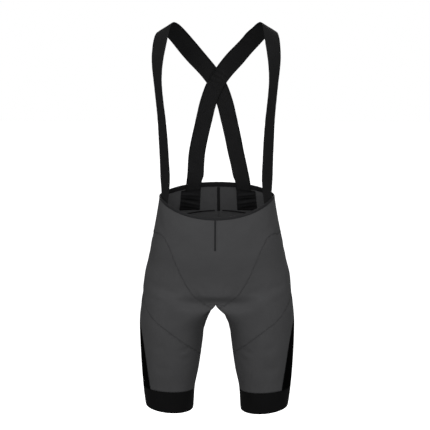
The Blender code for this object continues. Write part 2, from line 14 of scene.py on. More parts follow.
import bpy
import numpy as np
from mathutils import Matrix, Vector


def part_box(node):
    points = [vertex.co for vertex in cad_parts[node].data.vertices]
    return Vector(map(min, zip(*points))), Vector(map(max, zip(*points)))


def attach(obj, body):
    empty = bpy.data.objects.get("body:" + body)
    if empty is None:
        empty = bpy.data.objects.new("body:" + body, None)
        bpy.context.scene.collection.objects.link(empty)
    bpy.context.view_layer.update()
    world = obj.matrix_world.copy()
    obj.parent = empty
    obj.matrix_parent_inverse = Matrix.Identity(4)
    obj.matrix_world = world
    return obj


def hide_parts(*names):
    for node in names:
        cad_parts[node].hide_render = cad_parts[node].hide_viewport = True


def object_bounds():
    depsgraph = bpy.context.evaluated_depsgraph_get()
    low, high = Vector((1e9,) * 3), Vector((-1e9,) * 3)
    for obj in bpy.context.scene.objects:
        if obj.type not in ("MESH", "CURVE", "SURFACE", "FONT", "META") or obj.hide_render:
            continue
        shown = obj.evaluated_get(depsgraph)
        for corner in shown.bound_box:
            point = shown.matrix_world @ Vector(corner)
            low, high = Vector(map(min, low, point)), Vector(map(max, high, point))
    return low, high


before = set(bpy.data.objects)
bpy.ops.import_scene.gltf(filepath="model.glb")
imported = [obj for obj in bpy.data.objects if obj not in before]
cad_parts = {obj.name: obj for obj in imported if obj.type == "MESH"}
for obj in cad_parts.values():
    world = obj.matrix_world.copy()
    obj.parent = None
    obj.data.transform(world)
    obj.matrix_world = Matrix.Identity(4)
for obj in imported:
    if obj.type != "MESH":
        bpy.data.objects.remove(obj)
cad_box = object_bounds()

MM = 0.001

# ---------------------------------------------------------------------------------------------------------
# The form.

# Trim sizes.
FRONT_BINDING = 5.0
BACK_BINDING = 10.5
FRONT_TAPE_WIDTH = 4.0
FRONT_TAPE_LENGTH = 71.5
BACK_TAPE_WIDTH = 7.0
YOKE_TAPE_WIDTH = 3.0

# Braces.
STRAP_COLUMNS_ACROSS = 4
STRAP_STEPS = 46
FOOT_DEPTH = 2.7
CROSSING_LIFT = 1.3
CROSSING_TOP, CROSSING_BOTTOM, CROSSING_FADE = -85.0, -222.0, 45.0

# Rings of the trunk, top to bottom. thigh is how far the ring has turned into the tops of the two thighs.
TRUNK_COLUMNS = ("name", "front_z", "side_z", "back_z", "half_width", "front_y", "back_y", "thigh")
TRUNK_ROWS = (
    ("waist", -453, -407, -384, 136.0, -98, 88, 0.0),
    ("belly", -500, -455, -438, 144.0, -101, 94, 0.0),
    ("basque", -545, -505, -496, 154.0, -102, 106, 0.0),
    ("hip", -594, -560, -563, 165.0, -97, 117, 0.0),
    ("seat", -636, -600, -620, 172.5, -89, 110, 0.45),
    ("crotch", -658, -632, -659, 177.5, -70, 68, 1.0),
)

# Rings of a leg, top to bottom. Each is an oval; outer_rise and front_rise tilt it out of level.
# crotch_pull is how far its front and back inner corners are still drawn to the crotch.
LEG_COLUMNS = ("name", "height", "outer_rise", "front_rise", "centre_x", "half_width", "centre_y",
               "half_depth", "crotch_pull")
LEG_ROWS = (
    ("arch", -676, 16, 0, 99.0, 82.0, 3.0, 95.0, 0.48),
    ("upper thigh", -722, 8, 0, 108.2, 77.6, 1.0, 92.0, 0.10),
    ("thigh", -770, 4, 0, 110.5, 74.0, -1.5, 87.0, 0.0),
    ("lower thigh", -820, 3, 0, 112.8, 69.0, -3.0, 80.0, 0.0),
    ("band", -871, 4, 0, 115.8, 61.9, -4.0, 71.0, 0.0),
    ("hem", -918, 5, -5, 114.4, 57.6, -4.0, 65.0, 0.0),
)
THIGH_TOP = {"centre_x": 88.0, "half_width": 89.5, "centre_y": 4.0, "half_depth": 96.0}
CROTCH_SAG = 7.0
SQUARENESS = 0.035
LEG_START = math.radians(-30)
LEG_SWEEP = math.radians(240)
LEG_TURN = 1.5
CENTRE_REACH = 0.19
CORNER_REACH = 0.20
ON_CENTRE = 0.001
INSEAM_REACH = 0.15

# Where the seams run, as (around, drop).
SIDE = 0.53
SIDE_DROP = 88.0
V_TOP = (0.275, 77.0)
V_FOOT = (0.03, 229.0)
BACK_V_TOP = (0.72, 74.0)
BACK_V_FOOT = (0.975, 226.0)
BASQUE_SEAM = (V_TOP, (0.32, 76.0), (0.39, 84.0), (SIDE, SIDE_DROP))
YOKE_SIDE_SEAM = ((SIDE, SIDE_DROP), (0.63, 81.0), BACK_V_TOP)
YOKE_BACK_SEAM = (BACK_V_TOP, (0.85, 68.0), (0.92, 65.5), (1.0, 64.0))
FRONT_SEAM = (V_FOOT, (0.049, 216.0), (0.076, 198.0), (0.105, 179.0), (0.14, 158.0), (0.18, 126.0),
              (0.225, 95.0), V_TOP)
BACK_SEAM = (BACK_V_TOP, (0.745, 110.0), (0.79, 150.0), (0.88, 192.0), BACK_V_FOOT)
GUSSET_EDGE = (BACK_V_FOOT, (1.03, 236.0), (1.14, 249.0), (1.25, 252.0), (1.36, 249.5), (1.475, 240.0),
               (LEG_TURN + V_FOOT[0], V_FOOT[1]))
INSERT_TOP_FRONT = (0.585, 234.0)
INSERT_TOP_BACK = (0.645, 238.0)
BAND_TOP = 460.0
INSERT_FRONT = (INSERT_TOP_FRONT, (0.53, 260.0), (0.465, 288.0), (0.393, 324.0), (0.35, 369.0), (0.32, 415.0),
                (0.295, BAND_TOP))
INSERT_BACK = (INSERT_TOP_BACK, (0.665, 290.0), (0.69, 340.0), (0.72, 400.0), (0.75, BAND_TOP))
THIGH_SEAM = (
    INSERT_TOP_BACK, (0.71, 256.0), (0.79, 284.0), (0.89, 316.0), (1.0, 342.0), (1.11, 362.0), (1.22, 374.0),
    (1.31, 373.0), (1.385, 361.0), (1.5, 341.0), (1.565, 327.0), (1.625, 313.0), (1.675, 300.0),
    (1.74, 287.0), (1.81, 271.0), (1.87, 256.0), (1.94, 239.0), (2.01, 231.0),
    (LEG_TURN + INSERT_TOP_FRONT[0], INSERT_TOP_FRONT[1]),
)

# Gathered patch on the inside of the yoke, below the foot of each brace: places of its corners, its steps
# down, and the yoke's own depth there.
PATCH_INNER, PATCH_OUTER = 0.913, 0.79
PATCH_INNER_FOOT, PATCH_OUTER_FOOT = 60.5, 57.0

# The left brace, from inside the waist at the front, over the left shoulder, to inside the waist at the back
# on the right. facing is the way its face looks, 0 forwards, 90 outwards and 180 back; up is its tilt.
STRAP_COLUMNS = ("x", "y", "z", "facing", "up", "width")
STRAP_ROWS = (
    (120.5, -50.0, -368.0, 55, 0, 44),
    (121.8, -56.0, -320.0, 56, 0, 44.5),
    (123.8, -63.0, -273.0, 57, 0, 45),
    (126.6, -70.5, -226.0, 60, 0, 45),
    (131.1, -77.0, -180.0, 62, 0, 45),
    (134.9, -79.0, -134.0, 60, 2, 45),
    (135.5, -76.0, -110.0, 54, 5, 44.5),
    (134.8, -68.0, -84.0, 45, 12, 44),
    (132.0, -54.0, -56.0, 40, 26, 44),
    (128.0, -32.0, -28.0, 46, 44, 44),
    (121.0, 0.0, -11.0, 90, 58, 44),
    (109.0, 26.0, -16.0, 150, 46, 44.5),
    (93.0, 46.0, -33.0, 165, 30, 44.5),
    (74.0, 64.0, -55.0, 171, 22, 44.5),
    (50.0, 81.0, -81.0, 176, 16, 44.5),
    (20.0, 94.0, -114.0, 180, 10, 43.5),
    (-4.0, 99.5, -149.0, 180, 5, 42.5),
    (-20.0, 101.5, -190.0, 180, 1, 41.5),
    (-31.0, 101.0, -235.0, 182, -2, 41),
    (-42.0, 97.0, -283.0, 186, -4, 41),
    (-51.0, 90.0, -332.0, 189, -8, 41),
    (-57.0, 80.5, -374.0, 193, -8, 40.5),
)
CROSSING_SHIFT = -5.5
SHIFT_START, SHIFT_FULL, SHIFT_EASING, SHIFT_END = -30.0, -100.0, -300.0, -385.0
FRONT_FOOT_ROWS = ((0.362, 34.0), (0.362, 3.0))
BACK_FOOT_ROWS = ((0.866, 1.0), (0.866, 15.0))
FOOT_WIDTHS = (42.5, 40.0)

# The left brace lies this much nearer the neck than the right one, just behind the shoulder.
NECK_SHIFT = -4.5
NECK_START, NECK_FULL, NECK_EASING, NECK_END = -8.0, -26.0, -62.0, -104.0


def rows_of(columns, rows):
    """The table as a list of dictionaries, one for each row."""
    return [dict(zip(columns, row)) for row in rows]


TRUNK = rows_of(TRUNK_COLUMNS, TRUNK_ROWS)
LEG = rows_of(LEG_COLUMNS, LEG_ROWS)
WAIST_SIDE = TRUNK[0]["side_z"]
TRUNK_DROPS = [WAIST_SIDE - row["side_z"] for row in TRUNK]
LEG_DROPS = [WAIST_SIDE - row["height"] - row["outer_rise"] for row in LEG]
DROPS = np.array(TRUNK_DROPS + LEG_DROPS, float)
CROTCH_ROW = len(TRUNK) - 1
CROTCH_DROP = DROPS[CROTCH_ROW]
HEM_DROP = DROPS[-1]


def ease(share):
    """0 to 1 with level ends."""
    share = np.clip(share, 0, 1)
    return share * share * (3 - 2 * share)


def oval(row, around, height):
    """Points of a thigh's oval."""
    angle = LEG_START + LEG_SWEEP * around
    across = row["centre_x"] + row["half_width"] * np.sin(angle)
    along = row["centre_y"] - row["half_depth"] * np.cos(angle)
    return np.stack([across, along, height + 0 * angle], axis=-1)


def trunk_ring(row, around):
    """Half a ring of the trunk, from the centre front round the side to the centre back."""
    angle = math.pi * around
    middle = (row["front_y"] + row["back_y"]) / 2
    depth = (row["back_y"] - row["front_y"]) / 2
    across = (np.sin(angle) + SQUARENESS * np.sin(3 * angle)) / (1 - SQUARENESS)
    along = (np.cos(angle) - SQUARENESS * np.cos(3 * angle)) / (1 - SQUARENESS)
    end_z = np.where(around < 0.5, row["front_z"], row["back_z"])
    height = row["side_z"] + (end_z - row["side_z"]) * np.cos(angle) ** 2
    ring = np.stack([row["half_width"] * across, middle - depth * along, height], axis=-1)
    turned = row["thigh"] * ease(np.minimum(around, 1 - around) / CENTRE_REACH)[..., None]
    return ring * (1 - turned) + oval(THIGH_TOP, around, height) * turned


def leg_ring(row, around):
    """A whole ring of the left leg."""
    angle = LEG_START + LEG_SWEEP * around
    height = row["height"] + row["outer_rise"] * np.sin(angle) + row["front_rise"] * np.cos(angle)
    ring = oval(row, around, height)
    from_front = np.minimum(around, LEG_TURN - around)
    for distance, corner_y in ((from_front, TRUNK[-1]["front_y"]), (np.abs(around - 1), TRUNK[-1]["back_y"])):
        pull = (row["crotch_pull"] * (1 - ease(distance / CORNER_REACH)))[..., None]
        corner = np.stack([0 * height, corner_y + 0 * height, height], axis=-1)
        ring = ring * (1 - pull) + corner * pull
    return ring


def crotch_line(around):
    """The line under the crotch, from the back of the leg's inside to the front."""
    share = (around - 1) / (LEG_TURN - 1)
    back = trunk_ring(TRUNK[-1], np.ones_like(around))
    front = trunk_ring(TRUNK[-1], np.zeros_like(around))
    line = back + (front - back) * share[..., None]
    line[..., 2] -= CROTCH_SAG * np.sin(math.pi * share)
    return line


def steady_slopes(knots, values):
    """Slopes at the knots for a cubic that never swings past its rows."""
    steps = np.diff(knots)[:, None, None]
    rises = np.diff(values, axis=0) / steps
    before, after = rises[:-1], rises[1:]
    heavy, light = 2 * steps[1:] + steps[:-1], steps[1:] + 2 * steps[:-1]
    same = before * after > 0
    inner = (heavy + light) / (heavy / np.where(same, before, 1) + light / np.where(same, after, 1))
    return np.concatenate([rises[:1], np.where(same, inner, 0), rises[-1:]])


def between(knots, values, slopes, at):
    """The cubic through the rows of values, each column read at its own place."""
    row = np.clip(np.searchsorted(knots, at, side="right") - 1, 0, len(knots) - 2)
    column = np.arange(len(at))
    step = (knots[row + 1] - knots[row])[:, None]
    share = (at - knots[row])[:, None] / step
    low, high = values[row, column], values[row + 1, column]
    leave, arrive = slopes[row, column] * step, slopes[row + 1, column] * step
    from_low = (low * (1 + 2 * share) + leave * share) * (1 - share) ** 2
    from_high = (high * (3 - 2 * share) - arrive * (1 - share)) * share ** 2
    return from_low + from_high


def outer_rows(around):
    """Every ring's points round the outside of the left half, and their slopes."""
    values = np.stack([trunk_ring(row, around) for row in TRUNK] + [leg_ring(row, around) for row in LEG])
    return values, steady_slopes(DROPS, values)


def inner_rows(around):
    """Every leg ring's points along the inside of the leg, from the crotch line down, and their slopes."""
    knots = DROPS[CROTCH_ROW:]
    values = np.stack([crotch_line(around)] + [leg_ring(row, around) for row in LEG])
    slopes = steady_slopes(knots, values)
    for end in (1.0, LEG_TURN):
        edge_values, edge_slopes = outer_rows(np.array([end % LEG_TURN]))
        chord = (edge_values[CROTCH_ROW + 1] - edge_values[CROTCH_ROW]) / (knots[1] - knots[0])
        fade = 1 - ease(np.abs(around - end) / INSEAM_REACH)
        slopes[0] += (edge_slopes[CROTCH_ROW] - chord) * fade[:, None]
    return values, slopes


# In front of the crotch the cloth spans from thigh to thigh: how far it is eased forward there, at what
# height, how far up, down and across that reaches, and between which depths of the form it fades in.
FULLNESS, FULLNESS_HEIGHT = 17.0, -668.0
FULLNESS_UP, FULLNESS_ACROSS = 34.0, 72.0
FULLNESS_FROM, FULLNESS_TO = -10.0, -55.0


def with_fullness(points):
    """Points of the form with the cloth in front of the crotch eased forward."""
    x, y, z = points[..., 0], points[..., 1], points[..., 2]
    near = np.exp(-((z - FULLNESS_HEIGHT) / FULLNESS_UP) ** 2) * np.exp(-(x / FULLNESS_ACROSS) ** 2)
    front = ease(np.clip((y - FULLNESS_FROM) / (FULLNESS_TO - FULLNESS_FROM), 0, 1))
    return points - (FULLNESS * near * front)[..., None] * np.array([0.0, 1.0, 0.0])


def form(around, drop):
    """Points of the left half of the shorts' outer face."""
    shape = np.broadcast(around, drop).shape
    around = np.broadcast_to(np.asarray(around, float), shape).ravel() % LEG_TURN
    drop = np.broadcast_to(np.asarray(drop, float), shape).ravel()
    points = np.zeros((len(around), 3))
    outside = around <= 1
    if outside.any():
        points[outside] = between(DROPS, *outer_rows(around[outside]), drop[outside])
    if not outside.all():
        points[~outside] = between(DROPS[CROTCH_ROW:], *inner_rows(around[~outside]), drop[~outside])
    return with_fullness(points.reshape(shape + (3,)))


def patch(places):
    """The form's points at a grid of places."""
    return form(places[..., 0], places[..., 1])


def curve_through(knots, count):
    """count even steps along a smooth seam through its own few places."""
    knots = np.array(knots, float)
    steps = np.linalg.norm(np.diff(knots * (350.0, 1.0), axis=0), axis=1)
    along = np.concatenate([[0], np.cumsum(steps)])
    at = np.linspace(0, along[-1], count + 1)
    values = np.repeat(knots[:, None, :], len(at), axis=1)
    return between(along, values, steady_slopes(along, values), at)


def height_along(knots, arounds):
    """Places on a seam that goes round, at the arounds asked for."""
    knots = np.array(knots, float)
    values = np.repeat(knots[:, None, 1:], len(arounds), axis=1)
    drops = between(knots[:, 0], values, steady_slopes(knots[:, 0], values), arounds)
    return np.column_stack([arounds, drops])


def straight(start, end, count):
    """count even steps along a straight seam."""
    return np.linspace(start, end, count + 1)


def joined(*seams):
    """Seams end to end as one."""
    return np.concatenate([seams[0]] + [seam[1:] for seam in seams[1:]])


def next_turn(seam):
    """The same seam, counted from one turn further round the leg."""
    return seam + (LEG_TURN, 0.0)


def rescaled(values, low, high):
    """The values spread over another range in the same proportions."""
    return low + (values - values[0]) * (high - low) / (values[-1] - values[0])


def fill(top, bottom, left, right):
    """A grid of places between four seams; top and bottom run round, left and right run down."""
    a = np.linspace(0, 1, len(top))[None, :, None]
    b = np.linspace(0, 1, len(left))[:, None, None]
    corners = (
        (1 - a) * (1 - b) * top[0] + a * (1 - b) * top[-1]
        + (1 - a) * b * bottom[0] + a * b * bottom[-1]
    )
    return (1 - b) * top[None] + b * bottom[None] + (1 - a) * left[:, None] + a * right[:, None] - corners


def foot_row(place, width, sign):
    """A brace's points across its width where it lies inside the waist; sign -1 is the wearer's right."""
    around, drop = place
    reach = np.linalg.norm(form(around + 0.01, drop) - form(around - 0.01, drop)) / 0.02
    offsets = np.linspace(-0.5, 0.5, STRAP_COLUMNS_ACROSS + 1) * width
    at = around - offsets / reach
    step = 0.004
    across = form(at + step, drop) - form(at - step, drop)
    down = form(at, drop + 1.0) - form(at, drop)
    normal = np.cross(down, across)
    normal /= np.linalg.norm(normal, axis=-1, keepdims=True)
    return (form(at, drop) - normal * FOOT_DEPTH) * (sign, 1.0, 1.0)


def strap_grid():
    """The left brace as a ribbon of points, from its front foot to its back foot."""
    rows = rows_of(STRAP_COLUMNS, STRAP_ROWS)
    centres = np.array([[row["x"], row["y"], row["z"]] for row in rows])
    tangents = np.gradient(centres, axis=0)
    offsets = np.linspace(-0.5, 0.5, STRAP_COLUMNS_ACROSS + 1)[:, None]
    keys = [foot_row(place, FOOT_WIDTHS[0], 1.0) for place in FRONT_FOOT_ROWS]
    for row, centre, tangent in zip(rows, centres, tangents):
        facing, up = math.radians(row["facing"]), math.radians(row["up"])
        normal = (math.sin(facing) * math.cos(up), -math.cos(facing) * math.cos(up), math.sin(up))
        across = np.cross(normal, tangent)
        keys.append(centre + offsets * row["width"] * across / np.linalg.norm(across))
    keys += [foot_row(place, FOOT_WIDTHS[1], -1.0) for place in BACK_FOOT_ROWS]
    keys = np.array(keys)
    middle = keys[:, STRAP_COLUMNS_ACROSS // 2]
    along = np.concatenate([[0], np.cumsum(np.linalg.norm(np.diff(middle, axis=0), axis=1))])
    slopes = np.gradient(keys, along, axis=0)
    width = keys.shape[1]
    at = np.linspace(0, along[-1], STRAP_STEPS + 1)
    return np.array([between(along, keys, slopes, np.full(width, place)) for place in at])


def crossed(grid, distance, neck_shift=0.0):
    """A brace at the crossing: moved back, or forward when negative, and the crossing a little off centre.
    neck_shift moves it sideways just behind the shoulder."""
    height, behind = grid[..., 2], grid[..., 1] > 0
    above = ease((CROSSING_TOP + CROSSING_FADE - height) / CROSSING_FADE)
    below = ease((height - CROSSING_BOTTOM + CROSSING_FADE) / CROSSING_FADE)
    aside = ease((SHIFT_START - height) / (SHIFT_START - SHIFT_FULL))
    aside = aside * ease((height - SHIFT_END) / (SHIFT_EASING - SHIFT_END))
    neck = ease((NECK_START - height) / (NECK_START - NECK_FULL))
    neck = neck * ease((height - NECK_END) / (NECK_EASING - NECK_END))
    moved = grid.copy()
    moved[..., 0] += (CROSSING_SHIFT * aside + neck_shift * neck) * behind
    moved[..., 1] += distance * above * below * behind
    return moved


# ---------------------------------------------------------------------------------------------------------
# The cloth's surface.

# Thickness of each cloth, how far a cut edge stands from its seam, and where the extra lines beside it run.
KNIT_WALL = 1.1
ELASTIC_WALL = 1.25
CUT_INSET = 0.22
EDGE_LINES = (0.22, 0.7, 1.4, 2.3)
RIM_ROUND = 0.32

# A seam sinks between its two rows of stitches, and the cloth beside it puckers a little.
SEAM_SINK, SEAM_REACH = 0.22, 1.5
PUCKER_DEPTH, PUCKER_REACH = 0.16, 9.0
PUCKER_WAVES = ((17.0, 0.6), (29.0, 2.1), (11.3, 4.4))

# Slow unevenness of worn cloth: wavelength and turn of each wave, and their depth together.
SWELL_WAVES = (
    (71.0, (0.62, 0.35, 0.70), 0.4),
    (113.0, (-0.48, 0.66, 0.58), 2.2),
    (158.0, (0.25, -0.80, 0.54), 4.0),
    (89.0, (0.90, 0.10, -0.42), 5.1),
)
SWELL_DEPTH = 0.40

# Creases of the worn cloth. side is 1 on the wearer's left and -1 on the right. Each runs from one place on
# the form to another, bowed down by bow millimetres at its middle. A trough's depth is negative, a ridge's
# positive.
CREASE_COLUMNS = ("side", "around", "drop", "to_around", "to_drop", "bow", "width", "depth")
CREASES = (
    # Front, from the fork up and outwards.
    (1, 0.055, 205, 0.085, 176, 3, 7.0, -1.1),
    (1, 0.030, 196, 0.045, 165, -2, 6.0, -0.6),
    (1, 0.115, 196, 0.230, 176, 5, 8.0, -0.8),
    (1, 0.100, 214, 0.250, 205, 6, 9.0, -0.9),
    (-1, 0.050, 207, 0.080, 180, 4, 7.5, -1.2),
    (-1, 0.030, 192, 0.052, 168, 2, 6.0, -0.5),
    (-1, 0.120, 200, 0.250, 185, 6, 9.0, -0.7),
    (-1, 0.095, 217, 0.225, 212, 4, 7.0, -0.9),
    # Front of the waist, where the braces lift it at the sides.
    (1, 0.40, 22, 0.30, 66, 6, 10.0, -0.7),
    (1, 0.46, 30, 0.40, 74, 3, 8.0, 0.6),
    (-1, 0.42, 18, 0.31, 60, 5, 10.0, -0.8),
    (-1, 0.36, 40, 0.27, 72, 5, 8.0, -0.4),
    # Dents at the sides, below the seam across the hips.
    (1, 0.505, 96, 0.430, 103, 4, 9.0, -1.6),
    (1, 0.560, 108, 0.455, 124, 6, 10.0, -0.8),
    (-1, 0.500, 93, 0.425, 97, 3, 8.5, -1.5),
    (-1, 0.555, 112, 0.470, 131, 7, 11.0, -0.9),
    # Outer hip and thigh.
    (1, 0.500, 168, 0.390, 192, 8, 12.0, -0.7),
    (1, 0.520, 226, 0.400, 240, 9, 10.0, -1.0),
    (1, 0.455, 262, 0.330, 268, 6, 8.0, 0.5),
    (-1, 0.510, 176, 0.400, 205, 9, 12.0, -0.8),
    (-1, 0.525, 220, 0.415, 238, 7, 9.0, -1.1),
    (-1, 0.450, 255, 0.350, 266, 5, 9.0, 0.5),
    # Front of the legs.
    (1, 0.230, 345, 0.130, 352, 6, 10.0, -0.8),
    (1, 0.260, 400, 0.120, 392, 7, 11.0, -0.8),
    (1, 0.060, 362, -0.040, 349, 4, 7.0, -1.0),
    (1, 0.010, 384, -0.080, 372, 3, 8.0, -0.6),
    (-1, 0.250, 352, 0.150, 343, 6, 11.0, -0.7),
    (-1, 0.230, 398, 0.090, 402, 8, 12.0, -0.9),
    (-1, 0.050, 356, -0.050, 346, 5, 7.5, -1.1),
    (-1, 0.020, 379, -0.060, 371, 3, 8.0, -0.6),
    # Inside of the legs.
    (1, 1.36, 268, 1.24, 288, 7, 8.0, -1.0),
    (1, 1.40, 300, 1.22, 309, 6, 9.0, -0.7),
    (1, 1.14, 276, 1.24, 262, 5, 8.0, -0.9),
    (-1, 1.38, 262, 1.26, 281, 6, 8.0, -1.1),
    (-1, 1.35, 311, 1.20, 305, 7, 9.0, -0.8),
    (-1, 1.12, 281, 1.22, 270, 4, 8.0, -0.8),
    # Seat and back of the legs.
    (1, 0.955, 226, 0.860, 246, 8, 9.0, -1.5),
    (1, 0.930, 243, 0.780, 262, 9, 10.0, -1.2),
    (1, 0.900, 268, 0.740, 276, 7, 11.0, -0.8),
    (1, 0.985, 262, 0.900, 292, 6, 9.0, -0.9),
    (1, 0.940, 196, 0.880, 214, 5, 8.0, -0.6),
    (1, 0.860, 372, 0.980, 384, 8, 12.0, -1.0),
    (1, 0.830, 404, 1.000, 411, 7, 11.0, -1.2),
    (1, 0.880, 436, 1.040, 430, 5, 9.0, -0.8),
    (-1, 0.950, 230, 0.850, 243, 7, 9.5, -1.4),
    (-1, 0.940, 250, 0.800, 270, 8, 10.0, -1.1),
    (-1, 0.880, 262, 0.720, 267, 8, 10.0, -0.7),
    (-1, 0.990, 258, 0.910, 284, 5, 8.0, -1.0),
    (-1, 0.930, 200, 0.870, 221, 6, 8.0, -0.5),
    (-1, 0.840, 366, 0.960, 374, 9, 12.0, -0.9),
    (-1, 0.850, 398, 1.020, 408, 6, 10.0, -1.3),
    (-1, 0.860, 432, 1.010, 438, 6, 9.0, -0.7),
    # Back of the yoke, under the pull of the braces.
    (1, 0.860, 22, 0.780, 52, 4, 9.0, -0.6),
    (1, 0.930, 18, 0.960, 50, 2, 8.0, -0.5),
    (-1, 0.850, 20, 0.760, 48, 5, 10.0, -0.7),
    (-1, 0.925, 24, 0.950, 52, -2, 8.0, -0.4),
)
CREASE_POINTS = 15
CREASE_RIM = 0.34
CREASE_RIM_AT, CREASE_RIM_WIDTH = 1.75, 0.85

# Panels: how many steps each seam takes on the fine surface.
FINE_STEPS = {
    "basque": 30, "front": 60, "yoke_side": 24, "yoke_back": 32, "back": 60, "gusset": 44, "ends": 4,
}
FINE_ROWS = {"front": 62, "yoke": 24, "hip": 50, "gusset": 10, "leg": 62, "band": 18}
FINE_INSERT_COLUMNS = 40

# Cloth is cut smaller than it is worn: how far each stretches across and along.
KNIT_STRETCH = (1.15, 1.05)
BAND_STRETCH = (1.20, 1.00)


def crease_lines():
    """Each crease as points on the form, its direction out, and its size."""
    lines = []
    for crease in rows_of(CREASE_COLUMNS, CREASES):
        share = np.linspace(0, 1, CREASE_POINTS)
        around = crease["around"] + (crease["to_around"] - crease["around"]) * share
        drop = crease["drop"] + (crease["to_drop"] - crease["drop"]) * share
        drop = drop + crease["bow"] * np.sin(math.pi * share)
        points = form(around, drop)
        step = 0.004
        normals = np.cross(form(around, drop + 1) - points, form(around + step, drop) - points)
        normals /= np.linalg.norm(normals, axis=-1, keepdims=True)
        mirror = (crease["side"], 1.0, 1.0)
        lines.append((points * mirror, normals * mirror, share, crease["width"], crease["depth"]))
    return lines


CREASE_LINES = crease_lines()


def crease_depth(points, normals):
    """How far the creases move the cloth at some points, out of its plain form."""
    flat, facing = points.reshape(-1, 3), normals.reshape(-1, 3)
    depth = np.zeros(len(flat))
    for line, out, share, width, most in CREASE_LINES:
        reach = width * (CREASE_RIM_AT + 2 * CREASE_RIM_WIDTH)
        low, high = line.min(0) - reach, line.max(0) + reach
        near = np.flatnonzero(((flat > low) & (flat < high)).all(1))
        if not len(near):
            continue
        offset = flat[near, None] - line[None]
        distances = np.linalg.norm(offset, axis=-1)
        nearest = distances.argmin(1)
        start = np.clip(nearest - 1, 0, len(line) - 2)
        best, along = distances[np.arange(len(near)), nearest], share[nearest]
        for first in (start, np.clip(nearest, 0, len(line) - 2)):
            piece = line[first + 1] - line[first]
            at = np.einsum("ij,ij->i", flat[near] - line[first], piece) / (piece ** 2).sum(1)
            at = np.clip(at, 0, 1)
            gap = np.linalg.norm(flat[near] - line[first] - piece * at[:, None], axis=1)
            better = gap <= best
            best = np.where(better, gap, best)
            along = np.where(better, share[first] + at * (share[1] - share[0]), along)
        same_side = np.clip((facing[near] * out[nearest]).sum(1) * 1.6 - 0.4, 0, 1)
        swell = np.sin(math.pi * np.clip(along, 0, 1)) ** 0.75
        wide = width * (0.55 + 0.45 * swell)
        trough = np.exp(-(best / wide) ** 2)
        rims = CREASE_RIM * np.exp(-((best / wide - CREASE_RIM_AT) / CREASE_RIM_WIDTH) ** 2)
        depth[near] += most * (trough - rims) * swell * same_side
    return depth.reshape(points.shape[:-1])


def swell_depth(points):
    """Slow unevenness of the cloth."""
    total = 0
    for length, turn, start in SWELL_WAVES:
        total = total + np.sin(points @ np.array(turn) * (2 * math.pi / length) + start)
    return total * SWELL_DEPTH / len(SWELL_WAVES)


def waves(along, phase):
    """An uneven ripple along an edge, about -1 to 1."""
    return sum(np.sin(2 * math.pi * along / length + start + phase) for length, start in PUCKER_WAVES) / 2


def read_lines(places, at):
    """A panel's places, each column read at its own rows."""
    row = np.clip(np.floor(at).astype(int), 0, len(places) - 2)
    share = (at - row)[..., None]
    column = np.arange(places.shape[1])[None]
    return places[row, column] * (1 - share) + places[row + 1, column] * share


def edge_lines(points, cut):
    """Where the first rows beside an edge run, in rows, at each column: close together beside a cut edge."""
    if not cut:
        return [np.zeros(points.shape[1])]
    spacing = np.maximum(np.linalg.norm(points[1] - points[0], axis=-1), 1e-6)
    most = np.linspace(0, 0.85, len(EDGE_LINES) + 1)[1:]
    return [np.minimum(inset / spacing, share) for inset, share in zip(EDGE_LINES, most)]


def with_edge_lines(places, cut_first, cut_last):
    """The panel's places with extra rows beside its cut first and last rows, which are drawn in a little."""
    points = form(places[..., 0], places[..., 1])
    last = len(places) - 1
    first_lines = edge_lines(points, cut_first)
    last_lines = [last - line for line in edge_lines(points[::-1], cut_last)][::-1]
    middle = [np.full(places.shape[1], float(row)) for row in range(1, last)]
    return read_lines(places, np.array(first_lines + middle + last_lines))


def turned(places):
    """Rows and columns exchanged."""
    return np.swapaxes(places, 0, 1)


def grid_normals(grid, ring=False):
    """Unit normals of a grid of points, facing out; a ring's last column is next to its first."""
    around = np.concatenate([grid[:, -1:], grid, grid[:, :1]], axis=1) if ring else grid
    across = np.gradient(around, axis=1)
    across = across[:, 1:-1] if ring else across
    normal = np.cross(np.gradient(grid, axis=0), across)
    return normal / np.maximum(np.linalg.norm(normal, axis=-1, keepdims=True), 1e-9)


def run_along(points, axis):
    """Distance along each row (axis 1) or column (axis 0) from its start."""
    steps = np.linalg.norm(np.diff(points, axis=axis), axis=-1)
    shape = list(points.shape[:-1])
    shape[axis] = 1
    return np.concatenate([np.zeros(shape), np.cumsum(steps, axis=axis)], axis=axis)


def seam_distance(points, cuts):
    """Each point's distance from the nearest seam, and its place along it.

    cuts says whether the first and last row and the first and last column are seams."""
    down, across = run_along(points, 0), run_along(points, 1)
    candidates = [
        (down, across), (down[-1:] - down, across), (across, down), (across[:, -1:] - across, down),
    ]
    distance = np.full(points.shape[:-1], 1e3)
    along = np.zeros_like(distance)
    for cut, (from_edge, place) in zip(cuts, candidates):
        if cut:
            closer = from_edge < distance
            distance = np.where(closer, from_edge, distance)
            along = np.where(closer, place, along)
    return distance + CUT_INSET, along


def quads(corners, flip=False):
    """Faces of a grid of vertex numbers."""
    around = (corners[:-1, :-1], corners[1:, :-1], corners[1:, 1:], corners[:-1, 1:])
    faces = np.stack([part.ravel() for part in around], axis=1)
    return faces[:, ::-1] if flip else faces


def mesh_object(name, points, faces, loop_uv, material, attributes=()):
    """A piece from its points in millimetres, its faces, and the UV of each face corner in metres."""
    data = bpy.data.meshes.new(name)
    faces = [tuple(face) for face in np.asarray(faces).tolist()]
    data.from_pydata((np.asarray(points) * MM).tolist(), [], faces)
    layer = data.uv_layers.new(name="cloth")
    layer.data.foreach_set("uv", np.asarray(loop_uv, np.float32).ravel())
    for label, values in attributes:
        data.attributes.new(label, "FLOAT", "POINT").data.foreach_set("value", np.asarray(values, np.float32))
    data.materials.append(material)
    data.shade_smooth()
    data.validate()
    piece = bpy.data.objects.new(name, data)
    bpy.context.scene.collection.objects.link(piece)
    return piece


